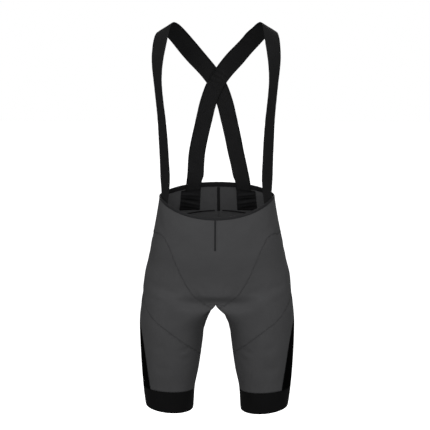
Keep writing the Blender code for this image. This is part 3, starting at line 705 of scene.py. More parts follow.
def border(rows, columns, ring):
    """The loops of (row, column) round a grid's edge, in the order that keeps a rim facing out."""
    if ring:
        across = list(range(columns)) + [0]
        return [[(0, j) for j in across], [(rows - 1, j) for j in reversed(across)]]
    top = [(0, j) for j in range(columns)]
    right = [(i, columns - 1) for i in range(1, rows)]
    bottom = [(rows - 1, j) for j in range(columns - 2, -1, -1)]
    left = [(i, 0) for i in range(rows - 2, -1, -1)]
    return [top + right + bottom + left]


def edge_outwards(grid, ring):
    """At each point of a grid's border, the direction along the cloth and out past its edge."""
    away = np.zeros_like(grid)
    away[0] += grid[0] - grid[1]
    away[-1] += grid[-1] - grid[-2]
    if not ring:
        away[:, 0] += grid[:, 0] - grid[:, 1]
        away[:, -1] += grid[:, -1] - grid[:, -2]
    return away / np.maximum(np.linalg.norm(away, axis=-1, keepdims=True), 1e-9)


def cloth_shell(name, outer, uv, wall, material, ring=False, attributes=()):
    """A cut piece of cloth: a grid of points as its outer face, an inner face a wall below, a rounded rim."""
    rows, columns = outer.shape[:2]
    normal = grid_normals(outer, ring)
    inner = outer - normal * wall
    away = edge_outwards(outer, ring)
    numbers = np.arange(rows * columns).reshape(rows, columns)
    if ring:
        numbers = np.concatenate([numbers, numbers[:, :1]], axis=1)
    count = rows * columns
    faces = [quads(numbers), quads(numbers + count, flip=True)]
    corner = np.arange(uv.shape[0] * uv.shape[1]).reshape(uv.shape[:2])
    flat_uv = uv.reshape(-1, 2)
    loops_uv = [flat_uv[quads(corner)], flat_uv[quads(corner, flip=True)]]
    points = [outer.reshape(-1, 3), inner.reshape(-1, 3)]
    values = [[value.ravel(), value.ravel()] for _, value in attributes]
    total = 2 * count
    for loop in border(rows, columns, ring):
        places = np.array(loop[:-1] if ring else loop)
        i, j = places[:, 0], places[:, 1]
        middle = (outer[i, j] + inner[i, j]) / 2 + away[i, j] * RIM_ROUND * wall
        points.append(middle)
        for value, (_, grid) in zip(values, attributes):
            value.append(grid[i, j])
        step = np.arange(len(places))
        after = (step + 1) % len(places)
        top, mid = numbers[i, j], total + step
        low = top + count
        faces.append(np.stack([top, top[after], mid[after], mid], axis=1))
        faces.append(np.stack([mid, mid[after], low[after], low], axis=1))
        here = uv[i, j]
        following = here[after]
        if ring and i[0] == 0:
            following[-1] = uv[0, columns]
        elif ring:
            here[0] = uv[i[0], columns]
        pair = np.stack([here, following, following, here], axis=1)
        loops_uv += [pair, pair]
        total += len(places)
    joined_values = [(label, np.concatenate(value)) for (label, _), value in zip(attributes, values)]
    return mesh_object(name, np.concatenate(points), np.concatenate(faces), np.concatenate(loops_uv),
                       material, joined_values)


POINTED_PANELS = ("front", "yoke", "seat", "hip", "leg", "insert")
FLAT_LEVELS, FLAT_POINTS = 13, 120


def flat_rectangle(places, stretch, halves=1):
    """Width and length in metres of the rectangle that holds a panel with pointed edges when it lies flat."""
    around, drop = places[..., 0], places[..., 1]
    levels, band = np.linspace(drop.min(), drop.max(), FLAT_LEVELS, retstep=True)
    widths, lengths = [], []
    for level in levels:
        near = around[np.abs(drop - level) <= band]
        below = near.max() > 1 + ON_CENTRE
        across = np.linspace(near.min(), near.max(), FLAT_POINTS)
        widths.append(run_along(form(across, max(level, CROTCH_DROP) if below else level)[None], 1)[0, -1])
    for place in np.linspace(around.min(), around.max(), FLAT_LEVELS):
        below = place % LEG_TURN > 1 + ON_CENTRE
        down = np.linspace(max(drop.min(), CROTCH_DROP) if below else drop.min(), drop.max(), FLAT_POINTS)
        lengths.append(run_along(form(place, down)[None], 1)[0, -1])
    return halves * max(widths) / stretch[0] * MM, max(lengths) / stretch[1] * MM


TRIMS = {}


def rides(piece, node=None):
    """The piece moves with the shorts, and stands for its model node if any."""
    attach(piece, "root")
    if node:
        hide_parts(node)


def declare(piece, node):
    """The piece, a sheet of cloth, moves with the shorts and stands for its model node."""
    rides(piece, node)


def sewn_on(piece, sheet, node=None):
    """The piece is a binding, a tape or threads on a sheet of cloth."""
    rides(piece, node)
    TRIMS.setdefault(sheet, []).append(piece)


# ---------------------------------------------------------------------------------------------------------
# Finishes.

def linear(hex_colour):
    """An sRGB hex colour as linear red, green, blue and alpha."""
    parts = [int(hex_colour[i:i + 2], 16) / 255 for i in (1, 3, 5)]
    return tuple(p / 12.92 if p <= 0.04045 else ((p + 0.055) / 1.055) ** 2.4 for p in parts) + (1.0,)


def add(tree, kind, inputs=(), **settings):
    """Adds a node: its own settings, then its inputs by name, each a value or another node's output."""
    node = tree.nodes.new(kind)
    for name, value in settings.items():
        setattr(node, name, value)
    for name, value in dict(inputs).items():
        socket = node.inputs[name]
        if isinstance(value, bpy.types.NodeSocket):
            tree.links.new(value, socket)
        else:
            socket.default_value = value
    return node


def finish(name, roughness, specular):
    """A material with its shader, and the piece's own UV map in metres."""
    material = bpy.data.materials.new(name)
    material.use_nodes = True
    tree = material.node_tree
    shader = tree.nodes["Principled BSDF"]
    for socket, value in (("Roughness", roughness), ("Specular IOR Level", specular), ("Metallic", 0.0)):
        shader.inputs[socket].default_value = value
    place = add(tree, "ShaderNodeUVMap", uv_map="cloth").outputs["UV"]
    return material, tree, shader, place


def figure(tree, operation, *values):
    """A sum worked out by the material."""
    return add(tree, "ShaderNodeMath", dict(enumerate(values)), operation=operation).outputs[0]


def ripple(tree, value, length):
    """A wave, 0 to 1, along a distance in metres."""
    turn = figure(tree, "MULTIPLY", value, 2 * math.pi / length)
    return figure(tree, "MULTIPLY_ADD", figure(tree, "SINE", turn), 0.5, 0.5)


def colour_with(tree, shader, dark, light, amount, painted_shade=0.0):
    """The base colour: between two dye shades by an amount 0 to 1, and darkened by painted shade where the seam
    attribute marks sunk seams, brace edges and fold valleys.
    """
    mixed = add(tree, "ShaderNodeMix", {"Factor": amount}, data_type="RGBA")
    mixed.inputs["A"].default_value = linear(dark)
    mixed.inputs["B"].default_value = linear(light)
    colour = mixed.outputs["Result"]
    if painted_shade:
        # Painted shade: the seam attribute darkens the colour by this share in sunk seams, along the edges of the
        # braces and in the patch's fold valleys.
        seam = add(tree, "ShaderNodeAttribute", attribute_name="seam").outputs["Fac"]
        shade = figure(tree, "MULTIPLY_ADD", seam, -painted_shade, 1.0)
        colour = add(tree, "ShaderNodeVectorMath", {0: colour, "Scale": shade}, operation="SCALE").outputs[0]
    tree.links.new(colour, shader.inputs["Base Color"])


def bump_with(tree, shader, height, depth_mm, strength):
    """Relief on the surface, its full depth in millimetres."""
    bump = add(tree, "ShaderNodeBump", {"Strength": strength, "Distance": depth_mm * MM, "Height": height})
    tree.links.new(bump.outputs["Normal"], shader.inputs["Normal"])


# Real wales are about 0.5 mm apart; they are drawn coarser so that they show.
WALE, COURSE = 1.1 * MM, 0.95 * MM


def knit_height(tree, place):
    """Loops of a knit face: upright wales, each a chain of small Vs."""
    axes = add(tree, "ShaderNodeSeparateXYZ", {"Vector": place})
    across, down = axes.outputs["X"], axes.outputs["Y"]
    in_wale = figure(tree, "FRACT", figure(tree, "DIVIDE", across, WALE))
    column = figure(tree, "ABSOLUTE", figure(tree, "SUBTRACT", in_wale, 0.5))
    slanted = figure(tree, "MULTIPLY_ADD", column, COURSE * 1.4, down)
    loops = ripple(tree, slanted, COURSE)
    groove = figure(tree, "SMOOTH_MIN", figure(tree, "MULTIPLY", column, 3.2), 1.0, 0.3)
    return figure(tree, "MULTIPLY_ADD", loops, 0.35, figure(tree, "MULTIPLY", groove, 0.65))


def mottle(tree, place, scale, detail, low, high):
    """Slow or fine cloudiness, 0 to 1, at a scale of blobs in each metre."""
    noise = add(tree, "ShaderNodeTexNoise", {
        "Vector": place, "Scale": scale, "Detail": detail, "Roughness": 0.55})
    spread = add(tree, "ShaderNodeMapRange", {
        "Value": noise.outputs["Fac"], "From Min": low, "From Max": high})
    return spread.outputs["Result"]


def cloudy(tree, *shares):
    """Several clouds in their shares, each (cloud, share)."""
    total = 0.0
    for cloud, share in shares:
        total = figure(tree, "MULTIPLY_ADD", cloud, share, total)
    return total


def warp_knit(name, dark, light, roughness, specular, relief):
    """Warp-knitted polyamide with elastane, dyed in the piece: matt, with a soft bloom and fine wales."""
    material, tree, shader, place = finish(name, roughness, specular)
    height = knit_height(tree, place)
    yarn = mottle(tree, place, 1400, 2, 0.30, 0.70)
    bloom = mottle(tree, place, 22, 3, 0.30, 0.72)
    # Painted shade: the colour is darkened by up to 7% near the seams, where they sink.
    colour_with(tree, shader, dark, light, cloudy(tree, (height, 0.35), (yarn, 0.35), (bloom, 0.30)), 0.07)
    bump_with(tree, shader, figure(tree, "MULTIPLY_ADD", yarn, 0.18, height), relief, 0.55)
    return material


# Rubber threads of a woven elastic lie about 0.9 mm apart; drawn at 1.4 mm so that the ribs show.
RIB, PICK = 1.4 * MM, 1.7 * MM


def woven_elastic(name, dark, light, roughness, relief=0.22, painted_shade_amount=0.10):
    """Woven elastic, polyester over rubber: low ribs along its rubber threads, crossed by fine picks."""
    material, tree, shader, place = finish(name, roughness, 0.05)
    axes = add(tree, "ShaderNodeSeparateXYZ", {"Vector": place})
    across, along = axes.outputs["X"], axes.outputs["Y"]
    rib = ripple(tree, across, RIB)
    row = figure(tree, "FLOOR", figure(tree, "DIVIDE", across, RIB))
    picks = ripple(tree, figure(tree, "MULTIPLY_ADD", row, PICK / 2, along), PICK)
    height = figure(tree, "MULTIPLY_ADD", picks, 0.35, figure(tree, "MULTIPLY", rib, 0.65))
    fibre = mottle(tree, place, 1700, 2, 0.3, 0.7)
    wear = mottle(tree, place, 30, 3, 0.32, 0.75)
    clouds = cloudy(tree, (height, 0.45), (fibre, 0.25), (wear, 0.30))
    # Painted shade: the colour is darkened by the given share where the seam attribute marks edges, seams and fold
    # valleys.
    colour_with(tree, shader, dark, light, clouds, painted_shade_amount)
    bump_with(tree, shader, figure(tree, "MULTIPLY_ADD", fibre, 0.15, height), relief, 0.6)
    return material


def folded_tape(name, dark, light, roughness):
    """Fold-over elastic or woven tape, polyester: a fine slanted twill, faintly glossy on its round edge."""
    material, tree, shader, place = finish(name, roughness, 0.08)
    axes = add(tree, "ShaderNodeSeparateXYZ", {"Vector": place})
    slanted = figure(tree, "MULTIPLY_ADD", axes.outputs["X"], 0.8, axes.outputs["Y"])
    twill = ripple(tree, slanted, 1.0 * MM)
    fibre = mottle(tree, place, 1500, 2, 0.3, 0.7)
    colour_with(tree, shader, dark, light, cloudy(tree, (twill, 0.5), (fibre, 0.5)))
    bump_with(tree, shader, twill, 0.12, 0.5)
    return material


def spun_thread(name, dark, light):
    """Spun polyester sewing thread: fuzzy, twisted and matt."""
    material, tree, shader, _ = finish(name, 0.72, 0.05)
    place = add(tree, "ShaderNodeTexCoord").outputs["Object"]
    colour_with(tree, shader, dark, light, mottle(tree, place, 900, 1, 0.3, 0.7))
    return material


GREY_KNIT = warp_knit("grey_warp_knit", "#3b3b3c", "#464647", 0.88, 0.10, 0.20)
BLACK_KNIT = warp_knit("black_warp_knit", "#020202", "#040404", 0.90, 0.01, 0.20)
# Braces and hem band: a painted shade of 10% along their edges and sewn seam.
BRACE_ELASTIC = woven_elastic("black_woven_elastic", "#141414", "#1f1f20", 0.74)
HEM_ELASTIC = woven_elastic("black_gripper_elastic", "#0b0b0b", "#121213", 0.78, relief=0.16)
# The gathered patch: a painted shade of 85% in its fold valleys and along its top and bottom ends.
PATCH_ELASTIC = woven_elastic("black_gathered_elastic", "#111112", "#202021", 0.72, painted_shade_amount=0.85)
FRONT_FOLD = folded_tape("charcoal_fold_over_elastic", "#1d1d1e", "#272728", 0.66)
BACK_FOLD = folded_tape("black_fold_over_elastic", "#111112", "#19191a", 0.66)
BLACK_TAPE = folded_tape("black_seam_tape", "#101011", "#1a1a1b", 0.60)
GREY_THREAD = spun_thread("grey_sewing_thread", "#3a3a3b", "#434344")
CHARCOAL_THREAD = spun_thread("charcoal_sewing_thread", "#232324", "#2c2c2d")
BLACK_THREAD = spun_thread("black_sewing_thread", "#0b0b0c", "#151516")


# ---------------------------------------------------------------------------------------------------------
# Panels.

def seams():
    """Every seam of the left half as fine steps of places."""
    steps = FINE_STEPS
    lines = {
        "basque": curve_through(BASQUE_SEAM, steps["basque"]),
        "front": curve_through(FRONT_SEAM, steps["front"]),
        "yoke_side": curve_through(YOKE_SIDE_SEAM, steps["yoke_side"]),
        "yoke_back": curve_through(YOKE_BACK_SEAM, steps["yoke_back"]),
        "back": curve_through(BACK_SEAM, steps["back"]),
        "gusset": curve_through(GUSSET_EDGE, steps["gusset"]),
        "insert_front": curve_through(INSERT_FRONT, FINE_ROWS["leg"]),
        "insert_back": curve_through(INSERT_BACK, FINE_ROWS["leg"]),
    }
    hip_top = joined(lines["yoke_side"], lines["back"], lines["gusset"], next_turn(lines["front"]),
                     next_turn(lines["basque"]))
    arounds = rescaled(hip_top[1:-1, 0], INSERT_TOP_BACK[0], LEG_TURN + INSERT_TOP_FRONT[0])
    lines["hip_top"] = hip_top
    lines["thigh"] = height_along(THIGH_SEAM, arounds)
    band_arounds = rescaled(arounds, lines["insert_back"][-1, 0], LEG_TURN + lines["insert_front"][-1, 0])
    lines["leg_bottom"] = np.column_stack([band_arounds, np.full(len(arounds), BAND_TOP)])
    lines["insert_bottom"] = straight(
        lines["insert_front"][-1], lines["insert_back"][-1], FINE_INSERT_COLUMNS)
    return lines


SEAMS = seams()


def between_lines(top, bottom, rows):
    """Places between two seams, with straight sides."""
    return fill(top, bottom, straight(top[0], bottom[0], rows), straight(top[-1], bottom[-1], rows))


def half_places():
    """Places of each panel of the left half, and whether its top, bottom, first and last column are cut."""
    line = SEAMS
    front_end = straight((0.0, CROTCH_DROP), V_FOOT, FINE_STEPS["ends"])
    front_bottom = joined(front_end, line["front"], line["basque"])
    front_top = straight((0.0, FRONT_BINDING), (SIDE, FRONT_BINDING), len(front_bottom) - 1)
    yoke_bottom = joined(line["yoke_side"], line["yoke_back"])
    yoke_top = straight((SIDE, BACK_BINDING), (1.0, BACK_BINDING), len(yoke_bottom) - 1)
    seat_bottom = straight(BACK_V_FOOT, (1.0, CROTCH_DROP), FINE_STEPS["yoke_back"])
    middle = (np.array([INSERT_TOP_FRONT]) + INSERT_TOP_BACK) / 2
    hip_bottom = np.concatenate([middle, line["thigh"], next_turn(middle)])
    crotch = straight((1.0, CROTCH_DROP), (LEG_TURN, CROTCH_DROP), FINE_STEPS["gusset"])
    insert_top = straight(INSERT_TOP_FRONT, INSERT_TOP_BACK, FINE_INSERT_COLUMNS)
    band_top = joined(line["insert_bottom"], line["leg_bottom"])
    band_drops = np.linspace(BAND_TOP, HEM_DROP, FINE_ROWS["band"] + 1)
    band = np.stack([band_top * (1, 0) + (0, drop) for drop in band_drops])
    return {
        "front": (between_lines(front_top, front_bottom, FINE_ROWS["front"]), (True, True, False, True)),
        "yoke": (between_lines(yoke_top, yoke_bottom, FINE_ROWS["yoke"]), (True, True, True, True)),
        "seat": (fill(line["yoke_back"], seat_bottom, line["back"],
                      straight(line["yoke_back"][-1], (1.0, CROTCH_DROP), FINE_STEPS["back"])),
                 (True, True, True, True)),
        "hip": (between_lines(line["hip_top"], hip_bottom, FINE_ROWS["hip"]), (True, True, False, False)),
        "gusset": (between_lines(crotch, line["gusset"], FINE_ROWS["gusset"]), (False, True, True, True)),
        "leg": (fill(line["thigh"], line["leg_bottom"], line["insert_back"], next_turn(line["insert_front"])),
                (True, True, True, True)),
        "insert": (fill(insert_top, line["insert_bottom"],
                        line["insert_front"], line["insert_back"]), (True, True, True, True)),
        "band": (band, (True, False, False, False)),
    }


PLACES = half_places()
ROUND_PANELS = ("hip", "band")
UV_GIRTH = 350.0


def lined(key):
    """A panel's places with its extra edge lines."""
    places, cuts = PLACES[key]
    places = with_edge_lines(places, cuts[0], cuts[1])
    if key in ROUND_PANELS:
        return places
    return turned(with_edge_lines(turned(places), cuts[2], cuts[3]))


def surfaced(points, cuts, ring, sink=SEAM_SINK):
    """The cloth's worn surface over its plain form, and how near each point is to a seam, the mask by which
    painted shade darkens the sunk seams.
    """
    normal = grid_normals(points, ring)
    distance, along = seam_distance(points, cuts)
    out = crease_depth(points, normal) + swell_depth(points)
    out = out - sink * np.exp(-(distance / SEAM_REACH) ** 2)
    pucker = waves(along, points[..., 2] * 0.01) * np.exp(-(distance / PUCKER_REACH) ** 2)
    out = out + PUCKER_DEPTH * pucker * (1 - np.exp(-(distance / SEAM_REACH) ** 2))
    return points + normal * out[..., None], np.exp(-(distance / (1.3 * SEAM_REACH)) ** 2)


def panel_uv(places, side, ring):
    """Knit wales run down the garment: across in girth, down in drop, in metres."""
    around = places[..., 0] * side
    uv = np.stack([around * UV_GIRTH * MM, places[..., 1] * MM], axis=-1)
    if ring:
        last = uv[:, :1] + np.array([LEG_TURN * UV_GIRTH * MM, 0])
        uv = np.concatenate([uv, last], axis=1)
    return uv


def mirrored(grid):
    """The same grid on the wearer's right, still facing out."""
    return (grid * (-1.0, 1.0, 1.0))[:, ::-1]


def side_panel(key, name, node, side, material, stretch, wall=KNIT_WALL, shape=None):
    """One panel on the wearer's left (side 1) or right (side -1)."""
    places = lined(key)
    ring = key in ROUND_PANELS
    cuts = PLACES[key][1]
    if ring:
        places = places[:, :-1]
    points = form(places[..., 0], places[..., 1])
    uv_places = places
    if side < 0:
        points = mirrored(points)
        uv_places = places[:, ::-1]
        cuts = (cuts[0], cuts[1], cuts[3], cuts[2])
    if shape is not None:
        points = shape(points, uv_places, ring)
    worn, seam = surfaced(points, cuts, ring)
    uv = panel_uv(uv_places, side, ring)
    piece = cloth_shell(name, worn, uv, wall, material, ring, [("seam", seam)])
    if key in POINTED_PANELS:
        flat = flat_rectangle(places, stretch)
    declare(piece, node)
    return piece


def whole_panel(key, name, node, material, stretch):
    """A panel that crosses the centre line in one piece."""
    places = lined(key)
    left = form(places[..., 0], places[..., 1])
    uv_left = panel_uv(places, 1.0, False)
    uv_right = panel_uv(places, -1.0, False)
    if key == "gusset":
        points = np.concatenate([left[::-1, ::-1], mirrored(left)[1:]])
        uv = np.concatenate([uv_left[::-1, ::-1], uv_right[1:, ::-1]])
        cuts = (True, True, True, True)
    else:
        points = np.concatenate([mirrored(left), left[:, 1:]], axis=1)
        uv = np.concatenate([uv_right[:, ::-1], uv_left[:, 1:]], axis=1)
        cuts = (True, True, True, True)
    worn, seam = surfaced(points, cuts, False)
    piece = cloth_shell(name, worn, uv, KNIT_WALL, material, False, [("seam", seam)])
    if key in POINTED_PANELS:
        flat = flat_rectangle(places, stretch, halves=2)
    declare(piece, node)
    return piece


# ---------------------------------------------------------------------------------------------------------
# Bindings and tapes: flat bands with a rounded section, swept along the form.

SECTION_POINTS = 16
SECTION_ROUND = 0.55


def swept_band(name, centre, out, width_way, half_width, half_wall, material, node, sheet):
    """A narrow band: a flat rounded section swept along centre, as a closed piece with flat cut ends."""
    turn = np.arange(SECTION_POINTS) / SECTION_POINTS * 2 * math.pi
    wide = np.sign(np.cos(turn)) * np.abs(np.cos(turn)) ** SECTION_ROUND
    thick = np.sign(np.sin(turn)) * np.abs(np.sin(turn)) ** SECTION_ROUND
    half_width = np.broadcast_to(half_width, len(centre))[:, None, None]
    half_wall = np.broadcast_to(half_wall, len(centre))[:, None, None]
    grid = (centre[:, None] + width_way[:, None] * half_width * wide[None, :, None]
            + out[:, None] * half_wall * thick[None, :, None])
    rows, columns = grid.shape[:2]
    numbers = np.arange(rows * columns).reshape(rows, columns)
    numbers = np.concatenate([numbers, numbers[:, :1]], axis=1)
    along = run_along(centre[None], 1)[0]
    around = run_along(np.concatenate([grid[0], grid[0, :1]])[None], 1)[0]
    uv = np.stack(np.broadcast_arrays(around[None, :], along[:, None]), axis=-1) * MM
    corner = np.arange(uv.shape[0] * uv.shape[1]).reshape(uv.shape[:2])
    inwards = np.cross(grid[1, 0] - grid[0, 0], grid[0, 1] - grid[0, 0]) @ (grid[0, 0] - centre[0]) < 0
    faces = quads(numbers, inwards).tolist()
    loops_uv = uv.reshape(-1, 2)[quads(corner, inwards)]
    first, last = numbers[0, :-1].tolist(), numbers[-1, :-1].tolist()
    caps = [first[::-1], last] if inwards else [first, last[::-1]]
    data = bpy.data.meshes.new(name)
    data.from_pydata((grid.reshape(-1, 3) * MM).tolist(), [], faces + caps)
    layer = data.uv_layers.new(name="cloth")
    cap_uv = np.zeros((2 * SECTION_POINTS, 2))
    layer.data.foreach_set("uv", np.concatenate([loops_uv.reshape(-1, 2), cap_uv]).astype(np.float32).ravel())
    data.materials.append(material)
    data.shade_smooth()
    piece = bpy.data.objects.new(name, data)
    bpy.context.scene.collection.objects.link(piece)
    sewn_on(piece, sheet, node)
    return piece


PATH_STEP = 0.004


def path_on_form(arounds, drops, side=1.0):
    """Points and outward normals of a path on the form; a negative around is on the wearer's right."""
    arounds, drops = np.broadcast_arrays(np.asarray(arounds, float), np.asarray(drops, float))
    sides = np.where(arounds < 0, -1.0, 1.0) * side
    inner = np.abs(arounds)
    points = form(inner, drops)
    low = np.maximum(inner - PATH_STEP, 0)
    high = inner + PATH_STEP
    high = np.where((inner <= 1) & (drops < CROTCH_DROP), np.minimum(high, 1), high)
    normal = np.cross(form(inner, drops + 1) - form(inner, drops - 1), form(high, drops) - form(low, drops))
    at_front = inner < ON_CENTRE
    at_back = np.abs(inner - 1) < ON_CENTRE
    normal[at_front | at_back, 0] = 0
    normal /= np.linalg.norm(normal, axis=-1, keepdims=True)
    points[..., 0] *= sides
    normal[..., 0] *= sides
    return points, normal


def worn(points, out, lift):
    """Points moved out onto the worn cloth, and by lift above its outer face."""
    return points + out * (crease_depth(points, out) + swell_depth(points) + lift)[:, None]


def along_path(points):
    """Unit directions along a path."""
    steps = np.gradient(points, axis=0)
    return steps / np.linalg.norm(steps, axis=-1, keepdims=True)


# Bindings: steps round, half their thickness, how far they stand out past the cloth, their ripple, how far
# they lap over the panels, and how short of the side seams they stop.
BINDING_STEPS = 240
BINDING_HALF_WALL = 1.15
BINDING_OUT = 0.15
BINDING_WAVE = 0.10
BINDING_LAP = 0.9
BINDING_END = 0.25


def waist_bindings():
    """Folded edging round the top: charcoal in front, black behind."""
    ends = {"front": (0.0, SIDE, FRONT_BINDING), "back": (SIDE, 1.0, BACK_BINDING)}
    for name, (low, high, height) in ends.items():
        half = np.linspace(low, high, BINDING_STEPS // 2 + 1)
        if name == "front":
            at = np.concatenate([-half[::-1], half[1:]])
        else:
            at = np.concatenate([half, -half[-2::-1]])
        points, out = path_on_form(at, height / 2)
        tangent = along_path(points)
        points[0] += tangent[0] * BINDING_END
        points[-1] -= tangent[-1] * BINDING_END
        down = np.cross(out, tangent)
        run = run_along(points[None], 1)[0]
        ripples = waves(run, 0.7)
        centre = worn(points, out, BINDING_OUT - KNIT_WALL / 2 + BINDING_WAVE * ripples)
        swept_band("waist_fold_" + name, centre, out, down, height / 2 + BINDING_LAP + 0.03 * ripples,
                   BINDING_HALF_WALL + 0.06 * waves(run, 3.1),
                   FRONT_FOLD if name == "front" else BACK_FOLD, "waist_binding_" + name,
                   "front_panel_knit" if name == "front" else "back_yoke_left_knit")


# Tapes: steps along, half their thickness, how high the front one lies, how far inside the back ones lie, and
# how far the yoke's tapes run above its seam and stop short of the centre, as a share round.
TAPE_STEPS = 60
TAPE_HALF_WALL = 0.5
FRONT_TAPE_LIFT = 0.62
INSIDE_TAPE_LIFT = -(KNIT_WALL + 0.95)
YOKE_TAPE_ABOVE = 2.0
YOKE_TAPE_SHORT = 0.016


def front_tape_foot():
    """How far down the centre front the tape ends, read from its model node."""
    drops = np.linspace(FRONT_BINDING, 2 * FRONT_TAPE_LENGTH, 400)
    heights = form(0 * drops, drops)[:, 2]
    return np.interp(-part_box("front_seam_tape")[0][2] / MM, -heights, drops)


def front_tape():
    """The raised tape down the centre front."""
    points, out = path_on_form(0.0, np.linspace(FRONT_BINDING + 0.3, front_tape_foot(), TAPE_STEPS))
    side = np.tile((1.0, 0.0, 0.0), (len(points), 1))
    swept_band("front_raised_tape", worn(points, out, FRONT_TAPE_LIFT), out, side, FRONT_TAPE_WIDTH / 2,
               TAPE_HALF_WALL, FRONT_FOLD, "front_seam_tape", "front_panel_knit")


def inside_tapes():
    """Tapes over the seams inside the back: down the centre, and along the foot of each yoke."""
    drops = np.linspace(BACK_BINDING + 0.6, YOKE_BACK_SEAM[-1][1] - 0.6, TAPE_STEPS)
    points, out = path_on_form(1.0, drops)
    side = np.tile((1.0, 0.0, 0.0), (len(points), 1))
    centre = points + out * (INSIDE_TAPE_LIFT + swell_depth(points))[:, None]
    swept_band("back_inside_tape", centre, out, side, BACK_TAPE_WIDTH / 2, TAPE_HALF_WALL, BLACK_TAPE,
               "back_seam_tape", "back_yoke_left_knit")
    line = joined(SEAMS["yoke_side"], SEAMS["yoke_back"])
    arounds, drops = line[2:, 0], line[2:, 1]
    keep = arounds < 1 - YOKE_TAPE_SHORT
    for side_name, sign in (("left", 1.0), ("right", -1.0)):
        points, out = path_on_form(arounds[keep], drops[keep] - YOKE_TAPE_ABOVE, sign)
        across = np.cross(out, along_path(points))
        swept_band("yoke_inside_tape_" + side_name, worn(points, out, INSIDE_TAPE_LIFT), out, across,
                   YOKE_TAPE_WIDTH / 2, TAPE_HALF_WALL, BLACK_TAPE, "yoke_seam_tape_" + side_name,
                   "back_yoke_%s_knit" % side_name)


# ---------------------------------------------------------------------------------------------------------
# Braces and the gathered patches at their feet.

BRACE_ROWS, BRACE_COLUMNS = 330, 16

# Wrinkles across a brace where it takes a turn: height on the back, slant, width, depth, and where across and
# how far each runs.
WRINKLE_COLUMNS = ("height", "slant", "width", "depth", "centre", "reach")
LEFT_WRINKLES = (
    (-120, 0.10, 3.2, 0.9, 0.10, 0.50),
    (-129, -0.05, 2.8, 0.7, -0.05, 0.55),
    (-138, 0.12, 3.4, 0.8, 0.12, 0.45),
    (-151, 0.02, 3.0, 0.5, -0.12, 0.40),
    (-30, 0.30, 4.0, 0.6, -0.20, 0.35),
    (-47, 0.25, 5.0, 0.5, 0.15, 0.40),
    (-330, -0.15, 6.0, 0.4, 0.0, 0.45),
)
RIGHT_WRINKLES = (
    (-26, -0.28, 4.5, 0.6, 0.18, 0.35),
    (-52, -0.20, 5.0, 0.5, -0.15, 0.40),
    (-97, 0.15, 5.0, 0.4, 0.1, 0.4),
    (-300, 0.12, 6.5, 0.4, 0.05, 0.45),
)
WRINKLE_RIM, WRINKLE_RIM_AT = 0.4, 1.6
BRACE_CURL, BRACE_RIPPLE = 0.35, 0.12


def fine_brace():
    """The left brace as a fine grid: rows along its length, columns across."""
    coarse = strap_grid()
    rows, columns = coarse.shape[:2]
    along = np.linspace(0, rows - 1, BRACE_ROWS)
    knots = np.arange(rows, dtype=float)
    slopes = np.gradient(coarse, axis=0)
    fine = np.array([between(knots, coarse, slopes, np.full(columns, at)) for at in along])
    wide = np.linspace(0, columns - 1, BRACE_COLUMNS + 1)
    edge = np.array([0.02, 0.06, 0.12]) * (columns - 1)
    wide = np.sort(np.concatenate([wide[1:-1], edge, columns - 1 - edge]))
    column = np.minimum(np.floor(wide).astype(int), columns - 2)
    share = (wide - column)[None, :, None]
    return fine[:, column] * (1 - share) + fine[:, column + 1] * share


def wrinkled(grid, wrinkles, towards):
    """A brace's grid with its wrinkles, which rise towards one face, and a slight curl along its edges."""
    normal = grid_normals(grid)
    columns = grid.shape[1]
    across = np.linspace(-0.5, 0.5, columns)[None]
    move = -BRACE_CURL * (2 * across) ** 4 + 0 * grid[..., 2]
    run = run_along(grid, 0)
    middle = run[:, columns // 2]
    centre_height = grid[:, columns // 2, 2]
    back_rows = np.flatnonzero(grid[:, columns // 2, 1] > 0)
    for wrinkle in rows_of(WRINKLE_COLUMNS, wrinkles):
        row = back_rows[np.argmin(np.abs(centre_height[back_rows] - wrinkle["height"]))]
        width = np.linalg.norm(grid[row, -1] - grid[row, 0])
        off = middle[:, None] - middle[row] - across * width * wrinkle["slant"]
        reach = np.exp(-((across - wrinkle["centre"]) / wrinkle["reach"]) ** 4)
        away = np.abs(off) / wrinkle["width"]
        shape = np.exp(-away ** 2) - WRINKLE_RIM * np.exp(-(away - WRINKLE_RIM_AT) ** 2)
        move = move + towards * wrinkle["depth"] * shape * reach
    move = move + BRACE_RIPPLE * waves(run, across * 3)
    return grid + normal * move[..., None]


def braces():
    """Two elastic braces that cross at the back; the left one passes next to the wearer."""
    grid = fine_brace()
    for side, points, wrinkles, towards in (
        ("left", crossed(grid, -CROSSING_LIFT, NECK_SHIFT), LEFT_WRINKLES, -1.0),
        ("right", crossed(mirrored(grid), CROSSING_LIFT), RIGHT_WRINKLES, 1.0),
    ):
        worn = wrinkled(points, wrinkles, towards)
        columns = worn.shape[1]
        width = run_along(worn, 1)
        length = run_along(worn, 0)[:, columns // 2][:, None] + 0 * width
        uv = np.stack([width, length], axis=-1) * MM
        # Mask of painted shade: the colour darkens within about 2 mm of the brace's two edges.
        edge = np.exp(-(np.minimum(width, width[:, -1:] - width) / 2.2) ** 2)
        piece = cloth_shell("brace_" + side, worn, uv, ELASTIC_WALL, BRACE_ELASTIC, False, [("seam", edge)])
        declare(piece, "strap_" + side)


PATCH_ROWS, PATCH_COLUMNS_ACROSS = 46, 44
PATCH_RISE = 12.5
PATCH_WALL = 1.0
PATCH_LIFT = -(KNIT_WALL + 0.75)

# Folds of the gathered patch: where each crosses the outer and the inner edge, as shares of its height. A
# ridge has a positive depth, and the dip between two ridges a negative one, of which a share is sunk and which is
# darkened with painted shade.
FOLD_COLUMNS = ("outer_end", "inner_end", "width", "depth")
FOLD_DIP = 0.2
PATCH_FOLDS = {
    1.0: ((0.16, 0.36, 2.6, 1.9), (0.34, 0.52, 2.2, -1.6), (0.50, 0.74, 2.8, 2.1), (0.74, 0.93, 2.4, -1.4)),
    -1.0: ((0.20, 0.34, 2.6, 1.8), (0.38, 0.58, 2.4, -1.7), (0.54, 0.80, 2.8, 2.0), (0.80, 0.95, 2.2, -1.3)),
}


